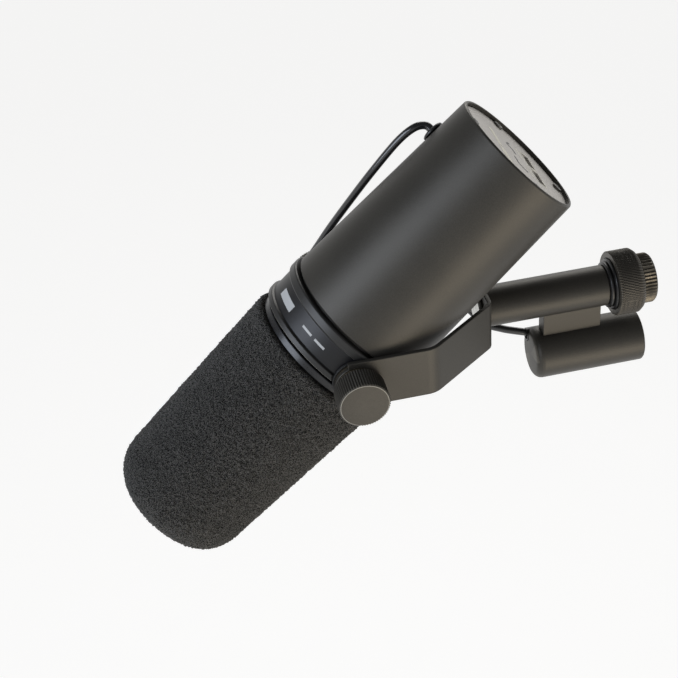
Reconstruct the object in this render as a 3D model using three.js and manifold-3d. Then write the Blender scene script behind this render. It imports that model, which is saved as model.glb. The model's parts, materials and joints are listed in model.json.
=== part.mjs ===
// Broadcast microphone with a foam windscreen, held in a yoke on a stand tube.
// Millimetres, +Z up. The origin is the seat at the bottom of the stand thread, +X points
// out of the thread along the stand tube, and the pivot of the yoke runs along Y.
import * as THREE from "three";
import { mergeVertices } from "three/addons/utils/BufferGeometryUtils.js";
import Module from "manifold-3d";

const wasm = await Module();
wasm.setup();

// ---- Driving dimensions -------------------------------------------------------------------

const FIT = 0.3; // clearance between neighbouring pieces

// Head, measured along its own axis from the pivot: + towards the rear, - towards the tip
const HEAD_ANGLE = THREE.MathUtils.degToRad(42.9);
const PIVOT_TO_SEAT = 113;
const REAR_S = 95.9;
const REAR_R = 26.56;
const HOUSING_FRONT_S = 10.9;
const HOUSING_TAPER = 0.034; // radius gained per millimetre towards the front
const HOUSING_WALL = 1.25;
const PANEL_RECESS = 1.5;
const PANEL_THICKNESS = 1.6;

const RIM_R = 30.7; // pivot ring: two raised rims with a band between them
const BAND_R = 29.7;
const RING_FRONT_S = -6.8;
const RING_REAR_S = 9.9;
const RIM_WIDTH = 3.4;
const RING_BORE_R = 24;

const COLLAR_R = 28.7;
const COLLAR_FRONT_S = -9.9;
const FOAM_REAR_R = 30.5;
const FOAM_FRONT_R = 28.1;
const FOAM_REAR_S = -10.2;
const FOAM_SHOULDER_S = -82.7;
const FOAM_TIP_S = -104.8;
const FOAM_ROUNDING = 3.4; // exponent of the rounded tip
const CAGE_R = 22.8;
const SCREEN_R = 21.3;
const CARTRIDGE_R = 15;

// Yoke and its pivots
const ARM_OUTER = 32.9;
const STRIP = 1.7;
const ARM_HALF_HEIGHT = 10.25;
const ARM_END_R = 8.4; // the arm steps down to a round end at each pivot
const ARM_STEP_X = -3;
const BASE_X = 56.6;
const ARM_BEND_X = 28.8;
const BASE_HALF = 11.9;
const BEND_RADII = { arm: 8.2, base: 3.4 };
const BOLT_R = 3; // bolt that holds the yoke to the stand tube
const KNOB_R = 9.5;
const KNOB_INNER = 34.74;
const KNOB_OUTER = 44.6;
const KNOB_TEETH = 40;
const KNOB_FACE = 1.5; // thickness of the closed face of the tightening nut
const SPOT_Y = 29.2; // flat on the pivot ring that carries the washers
const STUD_R = 3;
const SLEEVE_R = 5.2; // brass sleeve that lines the hole in each arm
const STACK = {
  // where each piece on the stud starts, from the flat on the ring outwards
  plasticWasher: SPOT_Y,
  innerBrassWasher: SPOT_Y + 1,
  sleeve: ARM_OUTER - STRIP,
  outerBrassWasher: ARM_OUTER,
  lockWasher: ARM_OUTER + 0.6,
  fittedWasher: ARM_OUTER + 1.2,
};

// Stand tube and connector, x from the pivot
const TUBE_R = 7.94;
const TUBE_END_X = 105;
const NUT_R = 12.7;
const NUT_FRONT_X = 106.6;
const NUT_REAR_X = 117.8;
const ADAPTER_R = 9.75;
const ADAPTER_END_X = 123.5;
const THREAD_R = 4.9; // the adapter narrows the 5/8 inch nut to a 3/8 inch stand stud
const KNURL_DEPTH = 0.35;
const NUT_TEETH = 40;
const ADAPTER_TEETH = 30;
const CONNECTOR_R = 10.25;
const CONNECTOR_Z = -27;
const CONNECTOR_FRONT_X = 75.75;
const CONNECTOR_REAR_X = 119.7;
const BLOCK_FRONT_X = 80;
const BLOCK_REAR_X = 103.2;
const BLOCK_HALF_WIDTH = 3;
const PIN_R = 1.15;
const PIN_CIRCLE_R = 4.75;
const PIN_DEGREES = [135, 45, 270];
const INSERT_DEPTH = 16; // from the rim of the connector to the face of its insert
const INSERT_LENGTH = 11;
const ENTRY_R = 2.9; // hole for the cable and its boot

// Cable
const CABLE_R = 1.5;
const GROMMET_S = 79;
const GROMMET_AZIMUTH = THREE.MathUtils.degToRad(50);
const GROMMET_NECK_R = 2.9;
const WRAP_R = 11.5; // the cable passes round the pivot outside the far arm
const CABLE_Y = ARM_OUTER + CABLE_R + FIT;
const CABLE_ENTRY = [5.4, -21.4]; // y and z of the hole in the connector housing

// Sides of a turned piece, from the largest pieces to the smallest
const FINE = 36;
const MEDIUM = 24;
const COARSE = 20;
const SMALL = 12;

// ---- Materials ----------------------------------------------------------------------------

const finish = (color, roughness, metalness) =>
  new THREE.MeshStandardMaterial({ color, roughness, metalness });
const DARK_ENAMEL = finish(0x3b3a36, 0.5, 0.5);
const BAND_ENAMEL = finish(0x2c2c2c, 0.45, 0.4);
const GLOSS_BLACK = finish(0x0b0c0e, 0.15, 0.1);
const FOAM = finish(0x2a2a29, 1, 0);
const PANEL_GREY = finish(0x8f908a, 0.55, 0.3);
const RUBBER = finish(0x141414, 0.6, 0);
const CABLE_BLACK = finish(0x0e0e10, 0.3, 0);
const STEEL = finish(0xa8a8a6, 0.35, 1);
const BRASS = finish(0xb08d4a, 0.35, 1);
const BRONZED = finish(0x5a4f40, 0.45, 0.8);
const PLASTIC = finish(0x1a1a1a, 0.5, 0);
const COPPER = finish(0x9a5a32, 0.4, 1);
const BOARD_GREEN = finish(0x1f4a2c, 0.6, 0);
const GOLD = finish(0xc9a24a, 0.3, 1);
const MESH_STEEL = finish(0x5c5c5a, 0.5, 0.9);

// ---- Geometry helpers ---------------------------------------------------------------------

// A closed surface as a manifold-3d solid with its faces pointing out.
function solid(geometry) {
  const flat = geometry.index ? geometry.toNonIndexed() : geometry.clone();
  flat.deleteAttribute("normal");
  flat.deleteAttribute("uv");
  const merged = mergeVertices(flat, 1e-4);
  const make = (triVerts) => {
    const vertProperties = merged.attributes.position.array;
    return new wasm.Manifold(new wasm.Mesh({ numProp: 3, vertProperties, triVerts }));
  };
  const triangles = new Uint32Array(merged.index.array);
  const made = make(triangles);
  return made.volume() > 0 ? made : make(triangles.reverse());
}

function toGeometry(made) {
  const mesh = made.getMesh();
  const geometry = new THREE.BufferGeometry();
  geometry.setAttribute("position", new THREE.BufferAttribute(mesh.vertProperties, 3));
  geometry.setIndex(new THREE.BufferAttribute(mesh.triVerts, 1));
  return geometry;
}

const outward = (geometry) => toGeometry(solid(geometry));

function join(...geometries) {
  const [first, ...others] = geometries.map(solid);
  return toGeometry(others.reduce((whole, piece) => whole.add(piece), first));
}

function cut(geometry, ...tools) {
  const tooled = tools.reduce((whole, tool) => whole.subtract(solid(tool)), solid(geometry));
  return toGeometry(tooled);
}

const keepInside = (geometry, mould) => toGeometry(solid(geometry).intersect(solid(mould)));

// Turned about X: the profile is a list of [x, radius].
function turnedX(profile, segments = FINE) {
  const points = profile.map(([x, radius]) => new THREE.Vector2(radius, x));
  return outward(new THREE.LatheGeometry(points, segments).rotateZ(-Math.PI / 2));
}

// Turned about Y: the profile is a list of [y, radius].
function turnedY(profile, segments = COARSE) {
  const points = profile.map(([y, radius]) => new THREE.Vector2(radius, y));
  return outward(new THREE.LatheGeometry(points, segments));
}

// Closed profiles: a ring between two radii, and a solid bar.
const ring = (from, to, inner, outer) => [
  [from, inner],
  [from, outer],
  [to, outer],
  [to, inner],
  [from, inner],
];
const bar = (from, to, radius) => [
  [from, 0],
  [from, radius],
  [to, radius],
  [to, 0],
];

function box(x, y, z) {
  const geometry = new THREE.BoxGeometry(x[1] - x[0], y[1] - y[0], z[1] - z[0]);
  return geometry.translate((x[0] + x[1]) / 2, (y[0] + y[1]) / 2, (z[0] + z[1]) / 2);
}

// A straight knurl: pointed teeth on a ring, extruded along Z.
function knurl(outer, depth, teeth, length, bore) {
  const shape = new THREE.Shape();
  for (let i = 0; i < 2 * teeth; i += 1) {
    const angle = (i * Math.PI) / teeth;
    const radius = i % 2 ? outer - depth : outer;
    const go = i ? "lineTo" : "moveTo";
    shape[go](radius * Math.cos(angle), radius * Math.sin(angle));
  }
  if (bore) shape.holes.push(new THREE.Path().absarc(0, 0, bore, 0, 2 * Math.PI, true));
  const settings = { depth: length, bevelEnabled: false, curveSegments: 12 };
  return new THREE.ExtrudeGeometry(shape, settings);
}

// A round cable along a smooth curve through points [x, y, z].
function cable(points, radius, steps) {
  const curve = new THREE.CatmullRomCurve3(points.map((p) => new THREE.Vector3(...p)));
  curve.curveType = "centripetal";
  const circle = new THREE.Shape().absarc(0, 0, radius, 0, 2 * Math.PI);
  const settings = { steps, extrudePath: curve, curveSegments: 4, bevelEnabled: false };
  return outward(new THREE.ExtrudeGeometry(circle, settings));
}

function piece(name, geometry, material) {
  const mesh = new THREE.Mesh(geometry, material);
  mesh.name = name;
  return mesh;
}

const range = (count) => Array.from({ length: count }, (_, i) => i);

// ---- Head: foam, grille and cartridge -----------------------------------------------------

// Outline of the foam, from its rear edge to the tip: a cone and a rounded nose.
function foamOutline(shrink, rearS) {
  const nose = range(9).map((i) => {
    const t = Math.sin((i / 8) * (Math.PI / 2));
    const radius = FOAM_FRONT_R * (1 - t ** FOAM_ROUNDING) ** (1 / FOAM_ROUNDING);
    const s = FOAM_SHOULDER_S + (FOAM_TIP_S + shrink - FOAM_SHOULDER_S) * t;
    return [s, Math.max(radius * (1 - shrink / FOAM_FRONT_R), 0)];
  });
  return [[rearS, FOAM_REAR_R - shrink], ...nose];
}

function foamWindscreen() {
  const edge = 1.2; // the cut edge at the rear is slightly rounded
  const outside = foamOutline(0, FOAM_REAR_S - edge);
  const cup = CAGE_R + FIT;
  const cupEnd = FOAM_SHOULDER_S - 9;
  return turnedX([
    ...outside.slice().reverse(),
    [FOAM_REAR_S, FOAM_REAR_R - edge],
    [FOAM_REAR_S, cup],
    [cupEnd + 5, cup],
    [cupEnd + 1.5, cup - 4],
    [cupEnd, cup - 10],
    [cupEnd, 0],
  ]);
}

// Six-window guard that the foam slides over.
function grilleCage() {
  const rear = FOAM_REAR_S;
  const front = FOAM_SHOULDER_S - 6.5;
  const wall = 1.2;
  const shell = turnedX(
    [
      [rear, CAGE_R],
      [front + 4, CAGE_R],
      [front, CAGE_R - 5],
      [front, CAGE_R - 8],
      [front + wall, CAGE_R - 8],
      [front + wall, CAGE_R - 5 - wall / 2],
      [front + 4, CAGE_R - wall],
      [rear, CAGE_R - wall],
      [rear, CAGE_R],
    ],
    MEDIUM,
  );
  const rail = 8; // kept at each end of a window, and half the width of a window
  const windows = range(3).map((i) => {
    const slot = box([front + rail, rear - rail], [-CAGE_R - 1, CAGE_R + 1], [-rail, rail]);
    return slot.rotateX((i * Math.PI) / 3);
  });
  return cut(shell, ...windows);
}

function grilleScreen() {
  const rear = FOAM_REAR_S - 5;
  const front = FOAM_SHOULDER_S - 4.5;
  const wall = 0.5;
  return turnedX(
    [
      [rear, SCREEN_R - wall],
      [rear, SCREEN_R],
      [front + 3, SCREEN_R],
      [front, SCREEN_R - 5],
      [front, 0],
      [front + wall, 0],
      [front + wall, SCREEN_R - 5 - wall / 2],
      [front + 3, SCREEN_R - wall],
      [rear, SCREEN_R - wall],
    ],
    MEDIUM,
  );
}

function addCartridge(head) {
  const front = -72;
  const rear = -24;
  const wall = 1;
  const canInside = CARTRIDGE_R - wall;
  const rearHoleR = 6;
  const floor = rear - 1.2;
  const can = turnedX(
    [
      [front, canInside],
      [front, CARTRIDGE_R],
      [rear, CARTRIDGE_R],
      [rear, rearHoleR],
      [floor, rearHoleR],
      [floor, canInside],
      [front, canInside],
    ],
    MEDIUM,
  );
  const film = 0.4;
  const domeR = 8;
  const domeHeight = 1.6;
  const dome = turnedX(
    [
      [front - 2 * film, canInside],
      [front - film, canInside],
      [front - film, domeR],
      [front - film - domeHeight, 0],
      [front - 2 * film - domeHeight, 0],
      [front - 2 * film, domeR],
      [front - 2 * film, canInside],
    ],
    MEDIUM,
  );
  const magnetRear = front + 20;
  const magnet = turnedX(bar(front + 4, magnetRear, 9), COARSE);
  const pole = turnedX(bar(magnetRear + film, floor - film, 5), COARSE);
  const popFilter = turnedX(bar(FOAM_SHOULDER_S - 1, front - 4, SCREEN_R - 1), COARSE);
  const humCoil = turnedX(ring(-44, -36, CARTRIDGE_R + FIT, CARTRIDGE_R + 2), COARSE);
  const chamberFront = rear + FIT;
  const chamberRear = 20;
  const chamberR = 11;
  const chamberWall = 1.2;
  const chamber = turnedX(
    [
      [chamberFront, 0],
      [chamberFront, chamberR],
      [chamberRear, chamberR],
      [chamberRear, chamberR - chamberWall],
      [chamberFront + chamberWall, chamberR - chamberWall],
      [chamberFront + chamberWall, 0],
    ],
    COARSE,
  );
  head.add(
    piece("cartridge_can", can, MESH_STEEL),
    piece("diaphragm", dome, PLASTIC),
    piece("magnet", magnet, STEEL),
    piece("pole_piece", pole, STEEL),
    piece("pop_filter", popFilter, FOAM),
    piece("hum_coil", humCoil, COPPER),
    piece("rear_chamber", chamber, PLASTIC),
  );
  [-66, -30].forEach((s, i) => {
    const mount = turnedX(ring(s, s + 4, CARTRIDGE_R + FIT, SCREEN_R - 0.8), COARSE);
    head.add(piece(["shock_mount_front", "shock_mount_rear"][i], mount, RUBBER));
  });
}

// ---- Head: collar, pivot ring and rear housing --------------------------------------------

function frontCollar() {
  const bore = 20;
  return turnedX([
    [COLLAR_FRONT_S - 4, bore],
    [COLLAR_FRONT_S - 4, CAGE_R - 1.5],
    [COLLAR_FRONT_S, CAGE_R - 1.5],
    [COLLAR_FRONT_S, COLLAR_R - 0.6],
    [COLLAR_FRONT_S + 0.5, COLLAR_R],
    [RING_FRONT_S, COLLAR_R],
    [RING_FRONT_S, bore],
    [COLLAR_FRONT_S - 4, bore],
  ]);
}

// The ring that carries the pivots, with a round flat on each side for the washers.
function pivotRing() {
  const soft = 0.5;
  const spigotR = housingRadius(HOUSING_FRONT_S) - HOUSING_WALL - 2 * FIT;
  const spigotEnd = RING_REAR_S + 6;
  const turned = turnedX(
    [
      [RING_FRONT_S, RING_BORE_R],
      [RING_FRONT_S, RIM_R - soft],
      [RING_FRONT_S + soft, RIM_R],
      [RING_FRONT_S + RIM_WIDTH, RIM_R],
      [RING_FRONT_S + RIM_WIDTH + soft, BAND_R],
      [RING_REAR_S - RIM_WIDTH - soft, BAND_R],
      [RING_REAR_S - RIM_WIDTH, RIM_R],
      [RING_REAR_S - soft, RIM_R],
      [RING_REAR_S, RIM_R - soft],
      [RING_REAR_S, spigotR],
      [spigotEnd, spigotR],
      [spigotEnd, RING_BORE_R],
      [RING_FRONT_S, RING_BORE_R],
    ],
    FINE,
  );
  const outside = RIM_R + 2;
  const inside = RING_BORE_R - 4;
  const tools = [1, -1].flatMap((side) => [
    turnedY(bar(SPOT_Y * side, outside * side, KNOB_R), MEDIUM),
    turnedY(bar(inside * side, outside * side, STUD_R + FIT), SMALL),
  ]);
  return cut(turned, ...tools);
}

const housingRadius = (s) => REAR_R + (REAR_S - s) * HOUSING_TAPER;

const PANEL_S = REAR_S - PANEL_RECESS;
const SCREW_CIRCLE_R = 22.6;
const SCREW_HOLE_R = 1.2;
const WINDOW = { y: 6, z: -9.5, width: 9.8, height: 3.8 };

// Four holes along the head's axis, under the four panel screws.
const screwHoles = (from, to) =>
  range(4).map((i) =>
    turnedX(bar(from, to, SCREW_HOLE_R), SMALL)
      .translate(0, SCREW_CIRCLE_R, 0)
      .rotateX((i * Math.PI) / 2),
  );

function rearHousing() {
  const edge = 0.5;
  const inside = (s) => housingRadius(s) - HOUSING_WALL;
  const ledgeS = PANEL_S - PANEL_THICKNESS;
  const ledgeR = SCREW_CIRCLE_R - 2.2;
  const bodyGeometry = turnedX(
    [
      [HOUSING_FRONT_S, inside(HOUSING_FRONT_S)],
      [HOUSING_FRONT_S, housingRadius(HOUSING_FRONT_S) - edge],
      [HOUSING_FRONT_S + edge, housingRadius(HOUSING_FRONT_S)],
      [REAR_S - edge, housingRadius(REAR_S - edge)],
      [REAR_S, REAR_R - edge],
      [REAR_S, REAR_R - HOUSING_WALL],
      [ledgeS, inside(ledgeS)],
      [ledgeS, ledgeR],
      [ledgeS - 2, ledgeR],
      [ledgeS - 3.5, inside(ledgeS - 3.5)],
      [HOUSING_FRONT_S, inside(HOUSING_FRONT_S)],
    ],
    FINE,
  );
  const cableHole = turnedY(bar(20, REAR_R + 4, GROMMET_NECK_R + FIT), SMALL)
    .rotateX(GROMMET_AZIMUTH)
    .translate(GROMMET_S, 0, 0);
  return cut(bodyGeometry, ...screwHoles(ledgeS - 6, ledgeS + 1), cableHole);
}

function rearPanel() {
  const discR = REAR_R - HOUSING_WALL - FIT;
  const disc = turnedX(bar(PANEL_S - PANEL_THICKNESS, PANEL_S, discR), FINE);
  const through = [PANEL_S - 3, PANEL_S + 1];
  const windows = [1, -1].map((side) =>
    box(
      through,
      [side * WINDOW.y - WINDOW.width / 2, side * WINDOW.y + WINDOW.width / 2],
      [WINDOW.z - WINDOW.height / 2, WINDOW.z + WINDOW.height / 2],
    ),
  );
  return cut(disc, ...windows, ...screwHoles(...through));
}

function panelScrew(angle) {
  const headR = 1.9;
  const headHeight = 0.8;
  const shankR = SCREW_HOLE_R - FIT;
  const slotDepth = 0.4;
  const halfSlot = 0.3;
  const shank = turnedX(bar(PANEL_S - 5, PANEL_S + 0.1, shankR), SMALL);
  const head = turnedX(bar(PANEL_S + 0.02, PANEL_S + headHeight, headR), SMALL);
  const slot = box(
    [PANEL_S + headHeight - slotDepth, PANEL_S + 2],
    [-headR - 1, headR + 1],
    [-halfSlot, halfSlot],
  );
  const slotted = cut(join(shank, head), slot);
  return slotted.translate(0, SCREW_CIRCLE_R, 0).rotateX(angle);
}

// A recessed slide switch: the stem shows in the panel window, the shoe runs on the board.
const BOARD_S = PANEL_S - 7;
const BOARD_THICKNESS = 1.6;
const SWITCH_TRAVEL = 4;

function switchLever(side) {
  const rest = side * WINDOW.y - SWITCH_TRAVEL / 2;
  const block = (along, halfWidth, halfHeight) =>
    box(
      along,
      [rest - halfWidth, rest + halfWidth],
      [WINDOW.z - halfHeight, WINDOW.z + halfHeight],
    );
  const stem = block([BOARD_S + 1.5, PANEL_S - 0.6], 1.8, 1.3);
  const shoe = block([BOARD_S + FIT, BOARD_S + 2], 2.6, 2.2);
  const driverSlot = block([PANEL_S - 1.4, PANEL_S + 1], 0.35, 2);
  return cut(join(stem, shoe), driverSlot);
}

function addElectronics(head) {
  const halfBoard = 18;
  const boardBack = BOARD_S - BOARD_THICKNESS;
  const post = (y) =>
    turnedX(bar(BOARD_S - 0.5, PANEL_S - PANEL_THICKNESS, 1.5), SMALL).translate(0, y, 3);
  const board = join(
    box([boardBack, BOARD_S], [-halfBoard, halfBoard], [-14, 6]),
    post(halfBoard - 3),
    post(3 - halfBoard),
  );
  // A square core with a square hole, filled by the winding
  const coreDepth = 14;
  const halfCore = 9;
  const limb = 3;
  const halfHole = halfCore - limb;
  const core = cut(
    box([boardBack - coreDepth, boardBack], [-halfCore, halfCore], [-10, 4]),
    box([boardBack - coreDepth + limb, boardBack - limb], [-halfHole, halfHole], [-12, 6]),
  );
  const coil = box(
    [boardBack - coreDepth + limb + FIT, boardBack - limb - FIT],
    [FIT - halfHole, halfHole - FIT],
    [-12, 6],
  );
  head.add(
    piece("filter_board", board, BOARD_GREEN),
    piece("inductor_core", core, STEEL),
    piece("inductor_coil", coil, COPPER),
  );
}

// ---- Pivot hardware, built outwards along +Y and used on both sides ------------------------

function pivotStud() {
  const headTop = RING_BORE_R - 0.7;
  const headHeight = 1.9;
  const headR = 5;
  const end = KNOB_OUTER - KNOB_FACE - FIT;
  return turnedY([
    [headTop - headHeight, 0],
    [headTop - headHeight, headR],
    [headTop, headR],
    [headTop, STUD_R],
    [end, STUD_R],
    [end, 0],
  ]);
}

const washer = (from, to, inner, outer) => turnedY(ring(from, to, inner, outer));

// External-tooth lock washer: a thin ring with small square teeth.
function lockWasher() {
  const teeth = 10;
  const discR = 6.6;
  const toothR = 7.8;
  const halfTooth = 0.45;
  const across = [STACK.lockWasher, STACK.fittedWasher];
  const disc = washer(...across, STUD_R + FIT, discR);
  const tooth = () => box([-halfTooth, halfTooth], across, [discR - halfTooth, toothR]);
  return join(disc, ...range(teeth).map((i) => tooth().rotateY((i * 2 * Math.PI) / teeth)));
}

function tighteningNut() {
  const chamfer = 0.6;
  const width = KNOB_OUTER - KNOB_INNER - 2 * chamfer;
  const body = knurl(KNOB_R, KNURL_DEPTH, KNOB_TEETH, width, 0)
    .rotateX(-Math.PI / 2)
    .translate(0, KNOB_INNER + chamfer, 0);
  const core = turnedY(
    [
      [KNOB_INNER, 0],
      [KNOB_INNER, KNOB_R - chamfer],
      [KNOB_OUTER, KNOB_R - chamfer],
      [KNOB_OUTER, 0],
    ],
    MEDIUM,
  );
  const bore = turnedY(bar(KNOB_INNER - 1, KNOB_OUTER - KNOB_FACE, STUD_R + FIT));
  return cut(join(body, core), bore);
}

function addPivot(group, side) {
  const stack = [
    ["plastic_washer", STACK.plasticWasher, STACK.innerBrassWasher, 8.8, PLASTIC],
    ["inner_brass_washer", STACK.innerBrassWasher, STACK.sleeve, 8, BRASS],
    ["pivot_sleeve", STACK.sleeve, STACK.outerBrassWasher, SLEEVE_R, BRASS],
    ["outer_brass_washer", STACK.outerBrassWasher, STACK.lockWasher, 8, BRASS],
    ["fitted_washer", STACK.fittedWasher, KNOB_INNER, 8.6, STEEL],
  ];
  stack.forEach(([name, from, to, outer, material]) => {
    group.add(piece(`${name}_${side}`, washer(from, to, STUD_R + FIT, outer), material));
  });
  group.add(
    piece(`pivot_stud_${side}`, pivotStud(), STEEL),
    piece(`lock_washer_${side}`, lockWasher(), STEEL),
    piece(`tightening_nut_${side}`, tighteningNut(), DARK_ENAMEL),
  );
}

// ---- Yoke ---------------------------------------------------------------------------------

// Rounds the corners of a path: each inner corner becomes an arc of its own radius.
function roundedPath(corners, radii) {
  return corners.flatMap((corner, i) => {
    if (!radii[i]) return [corner];
    const before = corners[i - 1].clone().sub(corner).normalize();
    const after = corners[i + 1].clone().sub(corner).normalize();
    const half = Math.acos(THREE.MathUtils.clamp(before.dot(after), -1, 1)) / 2;
    const toCentre = before.clone().add(after).normalize();
    const centre = corner.clone().addScaledVector(toCentre, radii[i] / Math.sin(half));
    const reach = radii[i] / Math.tan(half);
    const start = corner.clone().addScaledVector(before, reach).sub(centre);
    const end = corner.clone().addScaledVector(after, reach).sub(centre);
    const sweep = start.cross(end) > 0 ? start.angleTo(end) : -start.angleTo(end);
    const steps = 6;
    return range(steps + 1).map((k) =>
      start.clone().rotateAround(new THREE.Vector2(), (sweep * k) / steps).add(centre),
    );
  });
}

// The outline of a strip of even thickness along a path.
function stripOutline(path, thickness) {
  const offset = (side) =>
    path.map((point, i) => {
      const ahead = path[Math.min(i + 1, path.length - 1)];
      const behind = path[Math.max(i - 1, 0)];
      const along = ahead.clone().sub(behind).normalize();
      const normal = new THREE.Vector2(-along.y, along.x);
      return point.clone().addScaledVector(normal, (side * thickness) / 2);
    });
  return [...offset(1), ...offset(-1).reverse()];
}

// A strip bent into a U: two straight arms, two slanting stretches and a base.
function yoke() {
  const armY = ARM_OUTER - STRIP / 2;
  const baseX = BASE_X - STRIP / 2;
  const half = [
    [-ARM_END_R, armY],
    [ARM_BEND_X, armY],
    [baseX, BASE_HALF],
  ];
  const corners = [...half, ...half.map(([x, y]) => [x, -y]).reverse()].map(
    ([x, y]) => new THREE.Vector2(x, y),
  );
  const bends = [0, BEND_RADII.arm, BEND_RADII.base];
  const path = roundedPath(corners, [...bends, ...bends.slice().reverse()]);
  const tall = { depth: 2 * ARM_HALF_HEIGHT, bevelEnabled: false };
  const strip = new THREE.ExtrudeGeometry(
    new THREE.Shape(stripOutline(path, STRIP)),
    tall,
  ).translate(0, 0, -ARM_HALF_HEIGHT);

  const stepAngle = Math.acos(ARM_STEP_X / ARM_END_R);
  const side = new THREE.Shape()
    .absarc(0, 0, ARM_END_R, stepAngle, 2 * Math.PI - stepAngle)
    .lineTo(ARM_STEP_X, -ARM_HALF_HEIGHT)
    .lineTo(BASE_X + 1, -ARM_HALF_HEIGHT)
    .lineTo(BASE_X + 1, ARM_HALF_HEIGHT)
    .lineTo(ARM_STEP_X, ARM_HALF_HEIGHT);
  const wide = { depth: 2 * ARM_OUTER + 2, bevelEnabled: false, curveSegments: 12 };
  const roundEnds = new THREE.ExtrudeGeometry(side, wide)
    .rotateX(Math.PI / 2)
    .translate(0, ARM_OUTER + 1, 0);

  const pivotHole = turnedY(bar(-ARM_OUTER - 1, ARM_OUTER + 1, SLEEVE_R + FIT));
  const boltHole = turnedX(bar(BASE_X - 4, BASE_X + 2, BOLT_R + FIT), COARSE);
  return cut(keepInside(outward(strip), roundEnds), pivotHole, boltHole);
}

// ---- Stand tube, captive nut and connector -------------------------------------------------

function addStandTube(mount) {
  const boltHeadX = BASE_X - STRIP - 3;
  const boltHeadR = 6.6;
  const boltEnd = BASE_X + 14;
  const edge = 0.6;
  const bolt = cut(
    turnedX(
      [
        [boltHeadX, 0],
        [boltHeadX, boltHeadR - edge],
        [boltHeadX + edge, boltHeadR],
        [BASE_X - STRIP, boltHeadR],
        [BASE_X - STRIP, BOLT_R],
        [boltEnd, BOLT_R],
        [boltEnd, 0],
      ],
      COARSE,
    ),
    box([boltHeadX - 1, boltHeadX + 1.4], [-boltHeadR - 1, boltHeadR + 1], [-0.7, 0.7]),
  );
  const tubeBore = 6;
  const plugEnd = boltEnd + 2;
  const tubeEdge = 0.4;
  const tube = turnedX([
    [BASE_X, BOLT_R + FIT],
    [BASE_X, TUBE_R],
    [TUBE_END_X - tubeEdge, TUBE_R],
    [TUBE_END_X, TUBE_R - tubeEdge],
    [TUBE_END_X, tubeBore],
    [plugEnd, tubeBore],
    [plugEnd, BOLT_R + FIT],
    [BASE_X, BOLT_R + FIT],
  ]);
  // Two rounded rubber ridges between the tube and the nut, on a neck that enters the nut.
  const ridge = (x, radius) => [
    [x, radius - 0.6],
    [x + 0.4, radius],
    [x + 1.2, radius],
    [x + 1.6, radius - 0.6],
  ];
  const plugFront = TUBE_END_X - 8;
  const neckEnd = TUBE_END_X + 6;
  const neckR = 8;
  const pinR = 3.1;
  const bushing = turnedX(
    [
      [plugFront, pinR + FIT],
      [plugFront, tubeBore - FIT],
      [TUBE_END_X, tubeBore - FIT],
      ...ridge(TUBE_END_X, 9),
      ...ridge(TUBE_END_X + 1.7, 10),
      [TUBE_END_X + 3.3, neckR],
      [neckEnd, neckR],
      [neckEnd, pinR + FIT],
      [plugFront, pinR + FIT],
    ],
    MEDIUM,
  );
  // The seat is the flat head of a pin. It is narrower than the thread, so a stud can bottom on it.
  const seatR = THREAD_R - 0.3;
  const seatThickness = 1.7;
  const seat = turnedX(
    [
      [plugFront, 0],
      [plugFront, pinR],
      [PIVOT_TO_SEAT - seatThickness, pinR],
      [PIVOT_TO_SEAT - seatThickness, seatR],
      [PIVOT_TO_SEAT, seatR],
      [PIVOT_TO_SEAT, 0],
    ],
    COARSE,
  );
  mount.add(
    piece("yoke_bolt", bolt, STEEL),
    piece("mount_tube", tube, DARK_ENAMEL),
    piece("tube_bushing", bushing, RUBBER),
    piece("thread_seat", seat, STEEL),
  );
}

function captiveNut() {
  const shoulder = 1.5;
  const rootR = NUT_R - KNURL_DEPTH;
  const body = knurl(NUT_R, KNURL_DEPTH, NUT_TEETH, NUT_REAR_X - NUT_FRONT_X - 2 * shoulder, 0)
    .rotateY(Math.PI / 2)
    .translate(NUT_FRONT_X + shoulder, 0, 0);
  const core = turnedX(
    [
      [NUT_FRONT_X, 0],
      [NUT_FRONT_X, NUT_R - 1.3],
      [NUT_FRONT_X + shoulder, rootR],
      [NUT_REAR_X - shoulder, rootR],
      [NUT_REAR_X, NUT_R - 1.1],
      [NUT_REAR_X, 0],
    ],
    MEDIUM,
  );
  const flangeRoom = turnedX(bar(NUT_FRONT_X - 1, NUT_FRONT_X + 1.9, 10.3), MEDIUM);
  const neckRoom = turnedX(bar(NUT_FRONT_X, NUT_REAR_X + 1, 8.3), MEDIUM);
  return cut(join(body, core), flangeRoom, neckRoom);
}

// The thread adapter fills the nut and stands out behind it as a coarser knurled ring.
function threadAdapter() {
  const threadOuter = 8;
  const depth = 0.45;
  const length = ADAPTER_END_X - NUT_REAR_X - 1;
  const thread = turnedX(
    ring(PIVOT_TO_SEAT + FIT, ADAPTER_END_X, THREAD_R, threadOuter),
    MEDIUM,
  );
  const collar = knurl(ADAPTER_R, depth, ADAPTER_TEETH, length, THREAD_R)
    .rotateY(Math.PI / 2)
    .translate(NUT_REAR_X + FIT, 0, 0);
  const end = turnedX(
    ring(NUT_REAR_X + FIT, ADAPTER_END_X, THREAD_R, ADAPTER_R - 0.6),
    MEDIUM,
  );
  return join(thread, collar, end);
}

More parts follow.
